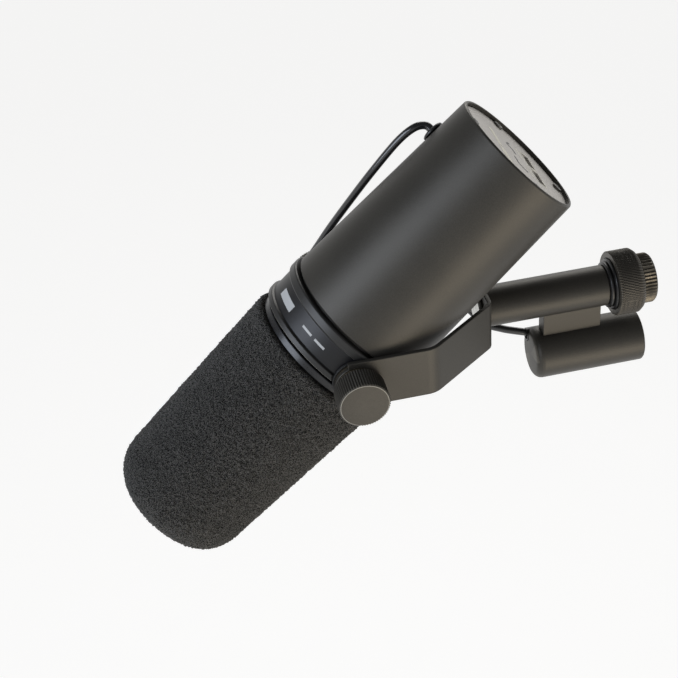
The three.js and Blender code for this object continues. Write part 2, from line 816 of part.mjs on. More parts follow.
function addConnector(mount) {
  const fillet = 3;
  const wall = 0.95;
  const bore = CONNECTOR_R - wall;
  const shoulder = range(5).map((i) => {
    const angle = (i / 4) * (Math.PI / 2);
    const x = CONNECTOR_FRONT_X + fillet * (1 - Math.sin(angle));
    return [x, CONNECTOR_R - fillet * (1 - Math.cos(angle))];
  });
  const floor = 2;
  const shell = turnedX([
    [CONNECTOR_FRONT_X, 0],
    ...shoulder.reverse(),
    [CONNECTOR_REAR_X - 0.4, CONNECTOR_R],
    [CONNECTOR_REAR_X, CONNECTOR_R - 0.3],
    [CONNECTOR_REAR_X, bore],
    [CONNECTOR_FRONT_X + 2 * floor, bore],
    [CONNECTOR_FRONT_X + floor, bore - floor],
    [CONNECTOR_FRONT_X + floor, 0],
  ]).translate(0, 0, CONNECTOR_Z);
  const [entryY, entryZ] = CABLE_ENTRY;
  const entry = turnedX(bar(CONNECTOR_FRONT_X - 2, CONNECTOR_FRONT_X + 6, ENTRY_R), SMALL);
  const insertRear = CONNECTOR_REAR_X - INSERT_DEPTH;
  const insertFront = insertRear - INSERT_LENGTH;
  const pinPlaces = PIN_DEGREES.map((degrees) => {
    const angle = THREE.MathUtils.degToRad(degrees);
    return [PIN_CIRCLE_R * Math.cos(angle), PIN_CIRCLE_R * Math.sin(angle) + CONNECTOR_Z];
  });
  const pinHole = ([y, z]) =>
    turnedX(bar(insertFront - 1, insertRear + 1, PIN_R + FIT), SMALL).translate(0, y, z);
  const insert = turnedX(bar(insertFront, insertRear, bore - FIT), MEDIUM).translate(
    0,
    0,
    CONNECTOR_Z,
  );
  mount.add(
    piece("connector_housing", cut(shell, entry.translate(0, entryY, entryZ)), DARK_ENAMEL),
    piece("connector_insert", cut(insert, ...pinPlaces.map(pinHole)), PLASTIC),
  );
  pinPlaces.forEach(([y, z], i) => {
    const tip = CONNECTOR_REAR_X - 2.5;
    const pin = turnedX(
      [
        [insertFront - 3, 0],
        [insertFront - 3, PIN_R],
        [tip - 1, PIN_R],
        [tip, PIN_R / 2],
        [tip, 0],
      ],
      SMALL,
    ).translate(0, y, z);
    mount.add(piece(`connector_pin_${i + 1}`, pin, GOLD));
  });
  const bootBore = CABLE_R + 0.5;
  const boot = turnedX(
    ring(CONNECTOR_FRONT_X - FIT, CONNECTOR_FRONT_X + 6, bootBore, ENTRY_R - FIT),
    SMALL,
  );
  mount.add(piece("cable_boot", boot.translate(0, entryY, entryZ), RUBBER));

  // The block between tube and connector is hollowed to sit on both round surfaces.
  const seam = 0.02;
  const hollow = (radius) =>
    turnedX(bar(BLOCK_FRONT_X - 1, BLOCK_REAR_X + 1, radius + seam), FINE);
  const block = cut(
    box(
      [BLOCK_FRONT_X, BLOCK_REAR_X],
      [-BLOCK_HALF_WIDTH, BLOCK_HALF_WIDTH],
      [CONNECTOR_Z + CONNECTOR_R - 1, -TUBE_R + 1],
    ),
    hollow(TUBE_R),
    hollow(CONNECTOR_R).translate(0, 0, CONNECTOR_Z),
  );
  mount.add(piece("bridge_block", block, DARK_ENAMEL));
}

// ---- Cable --------------------------------------------------------------------------------

// Head side, in head axes: out of the grommet, forward along the housing, to the pivot.
function headCable() {
  const out = (radius) => [
    GROMMET_S,
    radius * Math.cos(GROMMET_AZIMUTH),
    radius * Math.sin(GROMMET_AZIMUTH),
  ];
  return cable(
    [
      out(REAR_R - 6),
      out(REAR_R + 1),
      [GROMMET_S - 0.6, 20, 24.2],
      [GROMMET_S - 4, 20, 26.8],
      [GROMMET_S - 12, 21, 27.2],
      [52, 23.6, 24.6],
      [38, 27.4, 20.8],
      [22, 32, 16],
      [8, CABLE_Y, 12],
      [1, CABLE_Y, WRAP_R],
    ],
    CABLE_R,
    26,
  );
}

// Yoke side: from below the pivot along the far arm, round its bend and under the tube.
function yokeCable() {
  const [entryY, entryZ] = CABLE_ENTRY;
  return cable(
    [
      [-3, CABLE_Y, -WRAP_R + 0.4],
      [1, CABLE_Y, -WRAP_R],
      [14, CABLE_Y, -8.5],
      [27, CABLE_Y + 0.4, -5],
      [42, 25.4, -5.5],
      [53, 17, -10],
      [60, 10.5, -16],
      [66, 7.6, -18],
      [72, 6.2, -19.6],
      [CONNECTOR_FRONT_X, entryY, entryZ],
      [CONNECTOR_FRONT_X + 9, entryY, entryZ],
    ],
    CABLE_R,
    26,
  );
}

function cableGrommet() {
  const flangeFrom = housingRadius(GROMMET_S) + 0.2;
  const flangeTo = flangeFrom + 1.3;
  const flangeR = 4.3;
  const neckFrom = flangeFrom - 3;
  const bore = CABLE_R + 0.3;
  return turnedY(
    [
      [neckFrom, bore],
      [neckFrom, GROMMET_NECK_R],
      [flangeFrom, GROMMET_NECK_R],
      [flangeFrom, flangeR],
      [flangeFrom + 0.7, flangeR],
      [flangeTo, flangeR - 0.9],
      [flangeTo, bore],
      [neckFrom, bore],
    ],
    SMALL,
  )
    .rotateX(GROMMET_AZIMUTH)
    .translate(GROMMET_S, 0, 0);
}

// ---- Assembly -----------------------------------------------------------------------------

const microphone = new THREE.Group();
const atPivot = new THREE.Group();
atPivot.position.x = -PIVOT_TO_SEAT;
microphone.add(atPivot);

const head = new THREE.Group();
head.rotation.y = -HEAD_ANGLE;
head.add(
  piece("foam_windscreen", foamWindscreen(), FOAM),
  piece("grille_cage", grilleCage(), MESH_STEEL),
  piece("grille_screen", grilleScreen(), MESH_STEEL),
  piece("front_collar", frontCollar(), GLOSS_BLACK),
  piece("pivot_ring", pivotRing(), BAND_ENAMEL),
  piece("rear_housing", rearHousing(), DARK_ENAMEL),
  piece("rear_panel", rearPanel(), PANEL_GREY),
  piece("bass_switch", switchLever(-1), PLASTIC),
  piece("presence_switch", switchLever(1), PLASTIC),
  piece("cable_grommet", cableGrommet(), RUBBER),
  piece("cable_head_side", headCable(), CABLE_BLACK),
);
range(4).forEach((i) => {
  head.add(piece(`panel_screw_${i + 1}`, panelScrew((i * Math.PI) / 2), STEEL));
});
addCartridge(head);
addElectronics(head);
atPivot.add(head);

const right = new THREE.Group();
const left = new THREE.Group();
left.rotation.z = Math.PI;
addPivot(right, "right");
addPivot(left, "left");
atPivot.add(right, left);

atPivot.add(piece("yoke", yoke(), DARK_ENAMEL));
addStandTube(atPivot);
atPivot.add(piece("captive_nut", captiveNut(), DARK_ENAMEL));
atPivot.add(piece("thread_adapter", threadAdapter(), BRONZED));
addConnector(atPivot);
atPivot.add(piece("cable_yoke_side", yokeCable(), CABLE_BLACK));

export default microphone;
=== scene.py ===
"""Looks of a broadcast microphone with a foam windscreen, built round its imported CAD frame.

Metres, in the frame of the CAD part: +X runs out of the stand thread, +Y along the yoke pivot and +Z up.
Turned pieces are made again from the outline of their CAD solid, with many more sides and soft edges.
"""

import json
import math

import bmesh
import bpy
import numpy as np
from mathutils import Matrix, Vector, noise


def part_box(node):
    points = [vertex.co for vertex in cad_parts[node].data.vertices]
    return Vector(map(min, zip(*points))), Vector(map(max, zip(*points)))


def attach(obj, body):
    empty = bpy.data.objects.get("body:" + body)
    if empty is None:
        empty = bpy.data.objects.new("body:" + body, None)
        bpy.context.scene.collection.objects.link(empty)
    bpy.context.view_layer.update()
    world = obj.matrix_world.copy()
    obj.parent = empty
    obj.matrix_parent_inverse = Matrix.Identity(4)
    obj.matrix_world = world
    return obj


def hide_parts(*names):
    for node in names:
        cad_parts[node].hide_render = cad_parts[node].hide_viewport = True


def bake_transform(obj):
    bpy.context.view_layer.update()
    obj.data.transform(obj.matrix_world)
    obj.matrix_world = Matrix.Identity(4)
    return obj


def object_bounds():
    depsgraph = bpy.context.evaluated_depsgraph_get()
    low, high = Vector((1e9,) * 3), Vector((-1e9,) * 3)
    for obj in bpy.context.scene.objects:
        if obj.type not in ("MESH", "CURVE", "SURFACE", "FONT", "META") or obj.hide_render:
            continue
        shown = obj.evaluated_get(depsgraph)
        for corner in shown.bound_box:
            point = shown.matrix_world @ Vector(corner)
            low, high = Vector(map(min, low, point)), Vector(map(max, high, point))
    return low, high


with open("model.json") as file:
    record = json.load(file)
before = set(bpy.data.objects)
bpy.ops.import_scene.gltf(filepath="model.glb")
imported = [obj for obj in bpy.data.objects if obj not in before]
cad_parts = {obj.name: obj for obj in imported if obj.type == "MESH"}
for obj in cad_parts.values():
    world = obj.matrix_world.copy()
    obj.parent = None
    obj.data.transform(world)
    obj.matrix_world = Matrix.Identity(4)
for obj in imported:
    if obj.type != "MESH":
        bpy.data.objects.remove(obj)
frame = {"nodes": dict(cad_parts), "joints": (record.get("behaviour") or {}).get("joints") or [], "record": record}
cad_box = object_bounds()

MM = 0.001
SIDES = 160                 # sides of a turned piece
SOFT_EDGE = 0.25 * MM       # radius of an ordinary machined edge
JOINTS = {joint["name"]: joint for joint in frame["joints"]}
BODY_OF = {name: body for body, names in frame["record"]["behaviour"]["bodies"].items() for name in names}
SLOT_OF = {part["node"]: part["material_slot"] for part in frame["record"]["subparts"]}

PIVOT = Vector(JOINTS["head_tilt"]["pos_m"])
X, Y, Z = Vector((1, 0, 0)), Vector((0, 1, 0)), Vector((0, 0, 1))
REARWARD = -Vector(JOINTS["windscreen_pull"]["axis"]).normalized()


# ---- Axes: a place and three directions, the first along the axis -------------------------------

class Axes:
    def __init__(self, origin, along, across=Y):
        self.origin = Vector(origin)
        self.along = Vector(along).normalized()
        self.across = (Vector(across) - self.along * self.along.dot(Vector(across))).normalized()
        self.up = self.along.cross(self.across)

    def point(self, along, across=0.0, up=0.0):
        return self.origin + self.along * along + self.across * across + self.up * up

    def polar(self, along, radius, angle):
        return self.point(along, radius * math.cos(angle), radius * math.sin(angle))

    def local(self, points):
        basis = np.array([self.along, self.across, self.up], float)
        return (np.asarray(points, float) - np.array(self.origin)) @ basis.T


def corners(node):
    return np.array([v.co for v in frame["nodes"][node].data.vertices], float)


def span(node, axes):
    """Lowest and highest place of a CAD node along the axes' first direction, and its largest radius."""
    local = axes.local(corners(node))
    radius = np.hypot(local[:, 1], local[:, 2]).max()
    return local[:, 0].min(), local[:, 0].max(), radius


def middle(node):
    low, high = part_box(node)
    return (low + high) / 2


HEAD = Axes(PIVOT, REARWARD)
TUBE = Axes(PIVOT, X)
SOCKET = Axes(Vector((PIVOT.x, 0, middle("connector_housing").z)), X)
PIVOTS = {"left": Axes(PIVOT, -Y, X), "right": Axes(PIVOT, Y, X)}


# ---- Shader helpers -----------------------------------------------------------------------------

class Shader:
    """A material whose nodes are added one by one. Sizes of patterns are in metres."""

    def __init__(self, name):
        self.material = bpy.data.materials.new(name)
        self.material.use_nodes = True
        self.tree = self.material.node_tree
        self.surface = self.tree.nodes["Principled BSDF"]
        self.place = self.add("ShaderNodeTexCoord").outputs["Object"]

    def add(self, kind, inputs=None, **settings):
        made = self.tree.nodes.new(kind)
        for key, value in settings.items():
            setattr(made, key, value)
        for key, value in (inputs or {}).items():
            self.set(made.inputs[key], value)
        return made

    def mix(self, factor, low, high, **settings):
        """Colours in proportion. A mix node has one set of sockets for each data type, so they go by type."""
        made = self.add("ShaderNodeMix", data_type="RGBA", **settings)
        sockets = [i for i in made.inputs if i.enabled]
        for socket, value in zip(sockets, (factor, low, high)):
            self.set(socket, (*value, 1) if isinstance(value, tuple) else value)
        return next(o for o in made.outputs if o.enabled)

    def set(self, socket, value):
        if isinstance(value, bpy.types.NodeSocket):
            self.tree.links.new(value, socket)
        else:
            socket.default_value = value

    def noise(self, size, detail=2.0, roughness=0.5, place=None):
        inputs = {"Vector": place or self.place, "Scale": 1 / size, "Detail": detail, "Roughness": roughness}
        return self.add("ShaderNodeTexNoise", inputs).outputs["Fac"]

    def ramp(self, factor, stops):
        made = self.add("ShaderNodeValToRGB", {"Fac": factor})
        elements = made.color_ramp.elements
        while len(elements) < len(stops):
            elements.new(0.5)
        for element, (position, colour) in zip(elements, stops):
            element.position = position
            element.color = (*colour, 1)
        return made.outputs["Color"]

    def remap(self, value, low, high, new_low=0.0, new_high=1.0):
        """Stretches low to high into new_low to new_high, and holds what lies beyond."""
        inputs = {"Value": value, "From Min": low, "From Max": high, "To Min": new_low, "To Max": new_high}
        return self.add("ShaderNodeMapRange", inputs).outputs["Result"]

    def between(self, factor, low, high):
        """Spreads the middle of a noise from low to high."""
        return self.remap(factor, 0.3, 0.7, low, high)

    def calc(self, operation, *values):
        return self.add("ShaderNodeMath", dict(enumerate(values)), operation=operation).outputs["Value"]

    def wave(self, place, rate):
        return self.calc("SINE", self.calc("MULTIPLY", place, rate))

    def dot(self, vector, direction):
        made = self.add("ShaderNodeVectorMath", {0: vector, 1: tuple(direction)}, operation="DOT_PRODUCT")
        return made.outputs["Value"]

    def edges(self):
        """1 on a sharp outward edge and 0 on a flat face, broken up by a fine noise."""
        sharp = self.add("ShaderNodeNewGeometry").outputs["Pointiness"]
        patchy = self.between(self.noise(1.3 * MM, detail=3), 0.45, 1.0)
        return self.calc("MULTIPLY", self.remap(sharp, 0.52, 0.6), patchy)

    def bump(self, height, depth, strength=1.0):
        inputs = {"Height": height, "Distance": depth, "Strength": strength}
        return self.add("ShaderNodeBump", inputs).outputs["Normal"]

    def finish(self, **inputs):
        for key, value in inputs.items():
            self.set(self.surface.inputs[key.replace("_", " ")], value)
        return self.material


def shades(colour, spread):
    """A colour a little darker and a little lighter, for a ramp."""
    darker = tuple(c * (1 - spread) for c in colour)
    lighter = tuple(c * (1 + spread) for c in colour)
    return [(0.3, darker), (0.7, lighter)]


def enamel(name, colour, roughness, metallic, grain=0.4 * MM, depth=0.024 * MM, wear=2.4):
    """Sprayed enamel: a fine orange-peel grain, uneven colour and gloss, and edges rubbed lighter."""
    s = Shader(name)
    fine = s.noise(grain, detail=3)
    wide = s.noise(22 * MM, detail=2)
    tone = s.add("ShaderNodeMix", {"Factor": 0.6, "A": wide, "B": fine}, data_type="FLOAT").outputs["Result"]
    paint = s.ramp(tone, shades(colour, 0.2))
    worn = tuple(min(c * wear, 1.0) for c in colour)
    return s.finish(
        Base_Color=s.mix(s.edges(), paint, worn),
        Roughness=s.between(tone, roughness - 0.03, roughness + 0.04),
        Metallic=metallic,
        Normal=s.bump(fine, depth),
    )


def turned_metal(name, colour, roughness, along):
    """Lathe-turned metal: fine marks round the axis, so the pattern is stretched across it."""
    s = Shader(name)
    stretch = [26 if abs(c) < 0.5 else 1 for c in along]
    scaled = s.add("ShaderNodeMapping", {"Vector": s.place, "Scale": [1 / v for v in stretch]})
    marks = s.noise(0.12 * MM, detail=2, place=scaled.outputs["Vector"])
    stain = s.noise(4 * MM, detail=3)
    return s.finish(
        Base_Color=s.ramp(stain, shades(colour, 0.1)),
        Roughness=s.between(marks, roughness - 0.06, roughness + 0.1),
        Metallic=1.0,
        Normal=s.bump(marks, 0.01 * MM),
    )


def polymer(name, colour, roughness, grain=0.5 * MM, depth=0.01 * MM, coat=0.0, spread=0.15):
    """Moulded rubber or plastic with a faint grain."""
    s = Shader(name)
    fine = s.noise(grain, detail=3)
    wide = s.noise(9 * MM, detail=2)
    return s.finish(
        Base_Color=s.ramp(wide, shades(colour, spread)),
        Roughness=s.between(fine, roughness - 0.04, roughness + 0.05),
        Coat_Weight=coat,
        Coat_Roughness=0.08,
        Normal=s.bump(fine, depth),
    )


def open_cell_foam(name, strut, pore_shade, cell=0.6 * MM):
    """Reticulated foam: pale struts round pores painted near black as the shade inside the open cells, and painted
    glints, where scattered struts are painted bright as if they catch the light.
    """
    s = Shader(name)
    cells = {"Vector": s.place, "Scale": 1 / cell, "Randomness": 1.0}
    edge = s.add("ShaderNodeTexVoronoi", cells, feature="DISTANCE_TO_EDGE").outputs["Distance"]
    opened = s.remap(edge, 0.03, 0.22)
    # painted glints: scattered specks raised to the strut colour, as if struts catch the light
    painted_glints = s.remap(s.noise(0.34 * MM, detail=1), 0.47, 0.68)
    shown = s.calc("ADD", s.calc("MULTIPLY", s.calc("SUBTRACT", 1.0, opened), painted_glints), painted_glints)
    wide = s.ramp(s.noise(14 * MM, detail=2), [(0.35, (0.82, 0.82, 0.82)), (0.65, (1, 1, 1))])
    # painted shade: the pores are near black, as the shaded hollows of the open cells
    colour = s.ramp(shown, [(0.0, pore_shade), (0.95, strut)])
    return s.finish(
        Base_Color=s.mix(1.0, colour, wide, blend_type="MULTIPLY"),
        Roughness=1.0,
        Specular_IOR_Level=0.1,
        Sheen_Weight=0.26,
        Sheen_Roughness=0.4,
        Sheen_Tint=(0.8, 0.8, 0.78, 1),
        Normal=s.bump(shown, 0.2 * MM),
    )


def woven_wire(name, colour, axes, radius, pitch=0.7 * MM):
    """Fine wire cloth rolled round the axes: two crossed sets of waves, darkening towards gaps painted dark as the
    shade seen through the cloth.
    """
    s = Shader(name)
    offset = s.add("ShaderNodeVectorMath", {0: s.place, 1: tuple(axes.origin)}, operation="SUBTRACT")
    along, across, up = (s.dot(offset.outputs["Vector"], d) for d in (axes.along, axes.across, axes.up))
    wires_round = round(2 * math.pi * radius / pitch)
    rings = s.wave(along, 2 * math.pi / pitch)
    lengthwise = s.wave(s.calc("ARCTAN2", across, up), wires_round)
    level = s.remap(s.calc("MAXIMUM", rings, lengthwise), -1.0, 1.0)
    # painted shade: the openings between wires are near black, and the wires darken towards them
    gap_shade = tuple(c * 0.08 for c in colour)
    return s.finish(
        Base_Color=s.ramp(level, [(0.35, gap_shade), (0.7, colour)]),
        Roughness=s.between(level, 0.6, 0.35),
        Metallic=0.9,
        Normal=s.bump(level, 0.12 * MM),
    )


def wound_wire(name, colour, along, pitch=0.35 * MM):
    """Enamelled wire wound round an axis: fine parallel turns, with painted shade in the grooves between them."""
    s = Shader(name)
    # painted shade: the colour falls to about a third in the grooves between the turns
    level = s.remap(s.wave(s.dot(s.place, along), 2 * math.pi / pitch), -1.0, 1.0)
    return s.finish(
        Base_Color=s.ramp(level, [(0.1, tuple(c * 0.35 for c in colour)), (0.8, colour)]),
        Roughness=0.35,
        Metallic=0.85,
        Normal=s.bump(level, 0.1 * MM),
    )


ENAMEL_BROWN = (0.051, 0.0475, 0.0405)
BAND_GREY = (0.036, 0.0355, 0.034)
PANEL_GREY = (0.64, 0.61, 0.57)

MATERIALS = {
    "dark_enamel": enamel("dark_enamel", ENAMEL_BROWN, roughness=0.46, metallic=0.55),
    "band_enamel": enamel("band_enamel", BAND_GREY, roughness=0.4, metallic=0.5, depth=0.005 * MM),
    "gloss_black": polymer("gloss_black", (0.006, 0.0065, 0.008), roughness=0.3, depth=0.002 * MM, coat=0.12),
    "foam": open_cell_foam("foam", strut=(0.14, 0.134, 0.122), pore_shade=(0.004, 0.004, 0.0038)),
    "panel_grey": enamel("panel_grey", PANEL_GREY, roughness=0.5, metallic=0.25, depth=0.006 * MM, wear=1.1),
    "black_rubber": polymer("black_rubber", (0.011, 0.011, 0.011), roughness=0.32),
    "cable_black": polymer("cable_black", (0.009, 0.009, 0.01), roughness=0.24, depth=0.002 * MM, coat=0.5),
    "steel": turned_metal("steel", (0.55, 0.55, 0.53), roughness=0.32, along=X),
    "brass": turned_metal("brass", (0.3, 0.25, 0.17), roughness=0.34, along=Y),
    "bronzed": turned_metal("bronzed", (0.11, 0.1, 0.083), roughness=0.36, along=X),
    "copper_wire": wound_wire("copper_wire", (0.5, 0.24, 0.11), along=REARWARD),
    "circuit_board": polymer("circuit_board", (0.03, 0.13, 0.06), roughness=0.45, spread=0.3),
    "gold": turned_metal("gold", (0.72, 0.52, 0.19), roughness=0.22, along=X),
    "grille_steel": turned_metal("grille_steel", (0.14, 0.14, 0.135), roughness=0.42, along=Z),
    "black_plastic": polymer("black_plastic", (0.014, 0.014, 0.014), roughness=0.45),
}
WIRE_CLOTH = woven_wire("wire_cloth", (0.24, 0.24, 0.23), HEAD, span("grille_screen", HEAD)[2])
BAND_BLACK = enamel("band_black", (0.008, 0.008, 0.009), roughness=0.42, metallic=0.2, depth=0.004 * MM)
# the nut's enamel: a slightly darker, glossier copy of the dark enamel, its darkening painted shade
NUT_SHADED_ENAMEL = enamel("nut_shaded_enamel", (0.048, 0.043, 0.035), roughness=0.38, metallic=0.45)
BLOCK_ENAMEL = enamel("block_enamel", ENAMEL_BROWN, roughness=0.46, metallic=0.55, wear=1.0)
# pale edge enamel: partly a bare worn edge, partly a painted highlight on thin rims and chamfers
BARE_EDGE_AND_HIGHLIGHT = enamel("bare_edge_and_highlight", (0.26, 0.25, 0.22), roughness=0.42, metallic=0.25, wear=1.4)
DARK_STEEL = turned_metal("dark_steel", (0.16, 0.155, 0.145), roughness=0.36, along=REARWARD)
PALE_INK = polymer("pale_ink", (0.45, 0.46, 0.46), roughness=0.5, spread=0.08)
CREAM_INK = polymer("cream_ink", (0.86, 0.83, 0.7), roughness=0.5, spread=0.08)


# ---- Mesh helpers -------------------------------------------------------------------------------

def new_piece(name, vertices, faces, material):
    mesh = bpy.data.meshes.new(name)
    mesh.from_pydata([tuple(v) for v in vertices], [], faces)
    return dress(mesh, name, material)


def dress(mesh, name, material, sharp_degrees=35):
    """Makes an object of a mesh: faces outwards, smooth except at its sharp edges."""
    made = bmesh.new()
    made.from_mesh(mesh)
    bmesh.ops.recalc_face_normals(made, faces=made.faces)
    made.to_mesh(mesh)
    made.free()
    mesh.shade_smooth()
    mesh.set_sharp_from_angle(angle=math.radians(sharp_degrees))
    mesh.materials.clear()
    mesh.materials.append(material)
    piece = bpy.data.objects.new(name, mesh)
    bpy.context.scene.collection.objects.link(piece)
    weighted = piece.modifiers.new("weighted_normals", "WEIGHTED_NORMAL")
    weighted.keep_sharp = True
    return piece


def stand_for(piece, *nodes, body=None, material_slot=None):
    """The piece rides on the body of the first CAD node that it replaces, and those nodes are hidden."""
    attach(piece, body or BODY_OF[nodes[0]])
    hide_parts(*nodes)
    return piece


def on_head(piece):
    """A mark or small part of the head that stands for no CAD node."""
    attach(piece, "head")


def rounded(points, radius, closed, steps=4):
    """Rounds each real corner of an outline. Corners flatter than 12 degrees are part of a curve and stay."""
    flattest = math.radians(12)
    made = []
    count = len(points)
    for i, point in enumerate(points):
        here = Vector(point)
        if not closed and i in (0, count - 1):
            made.append(tuple(here))
            continue
        before = Vector(points[i - 1]) - here
        after = Vector(points[(i + 1) % count]) - here
        turn = math.pi - before.angle(after)
        reach = min(radius, 0.4 * before.length, 0.4 * after.length)
        if turn < flattest or reach < 1e-6:
            made.append(tuple(here))
            continue
        start = here + before.normalized() * reach
        end = here + after.normalized() * reach
        for k in range(steps + 1):
            t = k / steps
            made.append(tuple(start * (1 - t) ** 2 + here * 2 * t * (1 - t) + end * t ** 2))
    return made


def lathe(name, axes, outline, material, closed, sides=SIDES, shape=None):
    """Turns an outline of (along, radius) about the axes. A shape gives each corner its own radius."""
    vertices, rings = [], []
    for along, radius in outline:
        if radius < 1e-7:
            rings.append([len(vertices)])
            vertices.append(axes.point(along))
            continue
        rings.append(list(range(len(vertices), len(vertices) + sides)))
        for k in range(sides):
            angle = 2 * math.pi * k / sides
            reach = shape(along, radius, angle) if shape else radius
            vertices.append(axes.polar(along, reach, angle))
    pairs = list(zip(rings, rings[1:]))
    if closed:
        pairs.append((rings[-1], rings[0]))
    faces = []
    for first, second in pairs:
        for k in range(sides):
            after = (k + 1) % sides
            quad = [first[k % len(first)], first[after % len(first)]]
            quad += [second[after % len(second)], second[k % len(second)]]
            unique = list(dict.fromkeys(quad))
            if len(unique) > 2:
                faces.append(unique)
    return new_piece(name, vertices, faces, material)


def outline_of(node, axes, azimuth_degrees=0.0):
    """The half outline of a turned CAD solid: its section by a half plane through the axis.

    The azimuth is counted from the axes' up direction. A corner column of the solid lies just beside it.
    """
    beside = 1e-4
    angle = math.radians(90 - azimuth_degrees) + beside
    outward = axes.across * math.cos(angle) + axes.up * math.sin(angle)
    normal = axes.along.cross(outward)
    solid = bmesh.new()
    solid.from_mesh(frame["nodes"][node].data)
    bmesh.ops.remove_doubles(solid, verts=solid.verts, dist=1e-7)
    everything = solid.verts[:] + solid.edges[:] + solid.faces[:]
    cut = bmesh.ops.bisect_plane(solid, geom=everything, plane_co=axes.origin, plane_no=normal, dist=1e-9)
    edges = [e for e in cut["geom_cut"] if isinstance(e, bmesh.types.BMEdge)]
    links = {}
    for edge in edges:
        ends = []
        for vertex in edge.verts:
            local = axes.local([vertex.co])[0]
            radial = (vertex.co - axes.origin).dot(outward)
            ends.append((round(local[0], 7), round(max(radial, 0.0), 7), radial))
        if max(end[2] for end in ends) < 1e-6:
            continue
        a, b = ends[0][:2], ends[1][:2]
        if a != b:
            links.setdefault(a, []).append(b)
            links.setdefault(b, []).append(a)
    solid.free()
    loose = [point for point, others in links.items() if len(others) == 1]
    start = loose[0] if loose else next(iter(links))
    path, previous = [start], None
    while True:
        onward = [p for p in links[path[-1]] if p != previous and p != path[0]]
        if not onward:
            break
        previous = path[-1]
        path.append(onward[0])
    return without_flat_points(path, closed=not loose), not loose


def without_flat_points(path, closed):
    """Drops the points that lie on a straight stretch, which the triangles of a flat face leave behind."""
    kept = []
    for i, point in enumerate(path):
        if not closed and i in (0, len(path) - 1):
            kept.append(point)
            continue
        before = Vector(path[i - 1]) - Vector(point)
        after = Vector(path[(i + 1) % len(path)]) - Vector(point)
        if math.pi - before.angle(after) > math.radians(0.5):
            kept.append(point)
    return kept


def turned(node, axes, azimuth_degrees=0.0, radius=SOFT_EDGE, sides=SIDES, material=None, name=None):
    """A turned CAD node made again with soft edges."""
    outline, closed = outline_of(node, axes, azimuth_degrees)
    finish = material or MATERIALS[SLOT_OF[node]]
    return lathe(name or node + "_fine", axes, rounded(outline, radius, closed), finish, closed, sides)


def paint(piece, axes, material, along, radius):
    """Gives a second material to the faces in a stretch along the axes and a stretch of radius."""
    piece.data.materials.append(material)
    places = axes.local([face.center for face in piece.data.polygons])
    reach = np.hypot(places[:, 1], places[:, 2])
    inside = (places[:, 0] > along[0]) & (places[:, 0] < along[1])
    inside &= (reach > radius[0]) & (reach < radius[1])
    for face in np.flatnonzero(inside):
        piece.data.polygons[int(face)].material_index = len(piece.data.materials) - 1


def carve(piece, tools):
    """Cuts tools out of a piece with exact booleans, and removes them."""
    for tool in tools:
        cut = piece.modifiers.new("cut", "BOOLEAN")
        cut.operation, cut.solver, cut.object = "DIFFERENCE", "EXACT", tool
        piece.modifiers.move(len(piece.modifiers) - 1, 0)
        with bpy.context.temp_override(object=piece, active_object=piece, selected_objects=[piece]):
            bpy.ops.object.modifier_apply(modifier="cut")
        bpy.data.objects.remove(tool)
    piece.data.shade_smooth()
    piece.data.set_sharp_from_angle(angle=math.radians(35))
    return piece


def brick(axes, along, across, up):
    """A plain box in the axes, used as a cutting tool."""
    places = [(i, j, k) for i in along for j in across for k in up]
    vertices = [axes.point(*place) for place in places]
    faces = [(0, 1, 3, 2), (4, 6, 7, 5), (0, 4, 5, 1), (2, 3, 7, 6), (0, 2, 6, 4), (1, 5, 7, 3)]
    return new_piece("tool", vertices, faces, PALE_INK)


def rod(axes, start, end, radius, sides=64):
    return lathe("tool", axes, [(start, 0), (start, radius), (end, radius), (end, 0)], PALE_INK, False, sides)


def plate(name, axes, loops, level, thickness, material, edge=0.0):
    """A flat plate across the axis: the first loop is its outline, and the others are holes."""
    curve = bpy.data.curves.new(name, "CURVE")
    curve.dimensions, curve.fill_mode = "2D", "BOTH"
    curve.extrude, curve.bevel_depth, curve.offset = thickness / 2 - edge, edge, -edge
    curve.bevel_resolution = 2
    for loop in loops:
        spline = curve.splines.new("POLY")
        spline.points.add(len(loop) - 1)
        spline.use_cyclic_u = True
        for point, (across, up) in zip(spline.points, loop):
            point.co = (across, up, 0, 1)
    flat = bpy.data.objects.new(name + "_flat", curve)
    bpy.context.scene.collection.objects.link(flat)
    bpy.context.view_layer.update()
    evaluated = flat.evaluated_get(bpy.context.evaluated_depsgraph_get())
    mesh = bpy.data.meshes.new_from_object(evaluated)
    bpy.data.objects.remove(flat)
    place = Matrix((axes.across, axes.up, axes.along)).transposed().to_4x4()
    place.translation = axes.point(level + thickness / 2)
    mesh.transform(place)
    joined = bmesh.new()
    joined.from_mesh(mesh)
    bmesh.ops.remove_doubles(joined, verts=joined.verts, dist=1e-7)
    joined.to_mesh(mesh)
    joined.free()
    return dress(mesh, name, material)


def circle(across, up, radius, sides=48):
    steps = [2 * math.pi * k / sides for k in range(sides)]
    return [(across + radius * math.cos(a), up + radius * math.sin(a)) for a in steps]


def rectangle(across, up, width, height, corner=0.0):
    w, h = width / 2, height / 2
    square = [(across - w, up - h), (across + w, up - h), (across + w, up + h), (across - w, up + h)]
    return rounded(square, corner, closed=True) if corner else square


def smooth_path(points, spacing):
    """A smooth curve through points, as evenly spaced points."""
    knots = [points[0] * 2 - points[1]] + points + [points[-1] * 2 - points[-2]]
    dense = []
    for p0, p1, p2, p3 in zip(knots, knots[1:], knots[2:], knots[3:]):
        for k in range(24):
            t = k / 24
            straight = p1 * 2 + (p2 - p0) * t
            bent = (p0 * 2 - p1 * 5 + p2 * 4 - p3) * t ** 2 + (p1 * 3 - p0 - p2 * 3 + p3) * t ** 3
            dense.append((straight + bent) / 2)
    dense.append(points[-1])
    path, left = [dense[0]], spacing
    for a, b in zip(dense, dense[1:]):
        if (b - a).length >= left:
            path.append(a + (b - a).normalized() * left)
            left = spacing
        else:
            left -= (b - a).length
    return path + [dense[-1]]


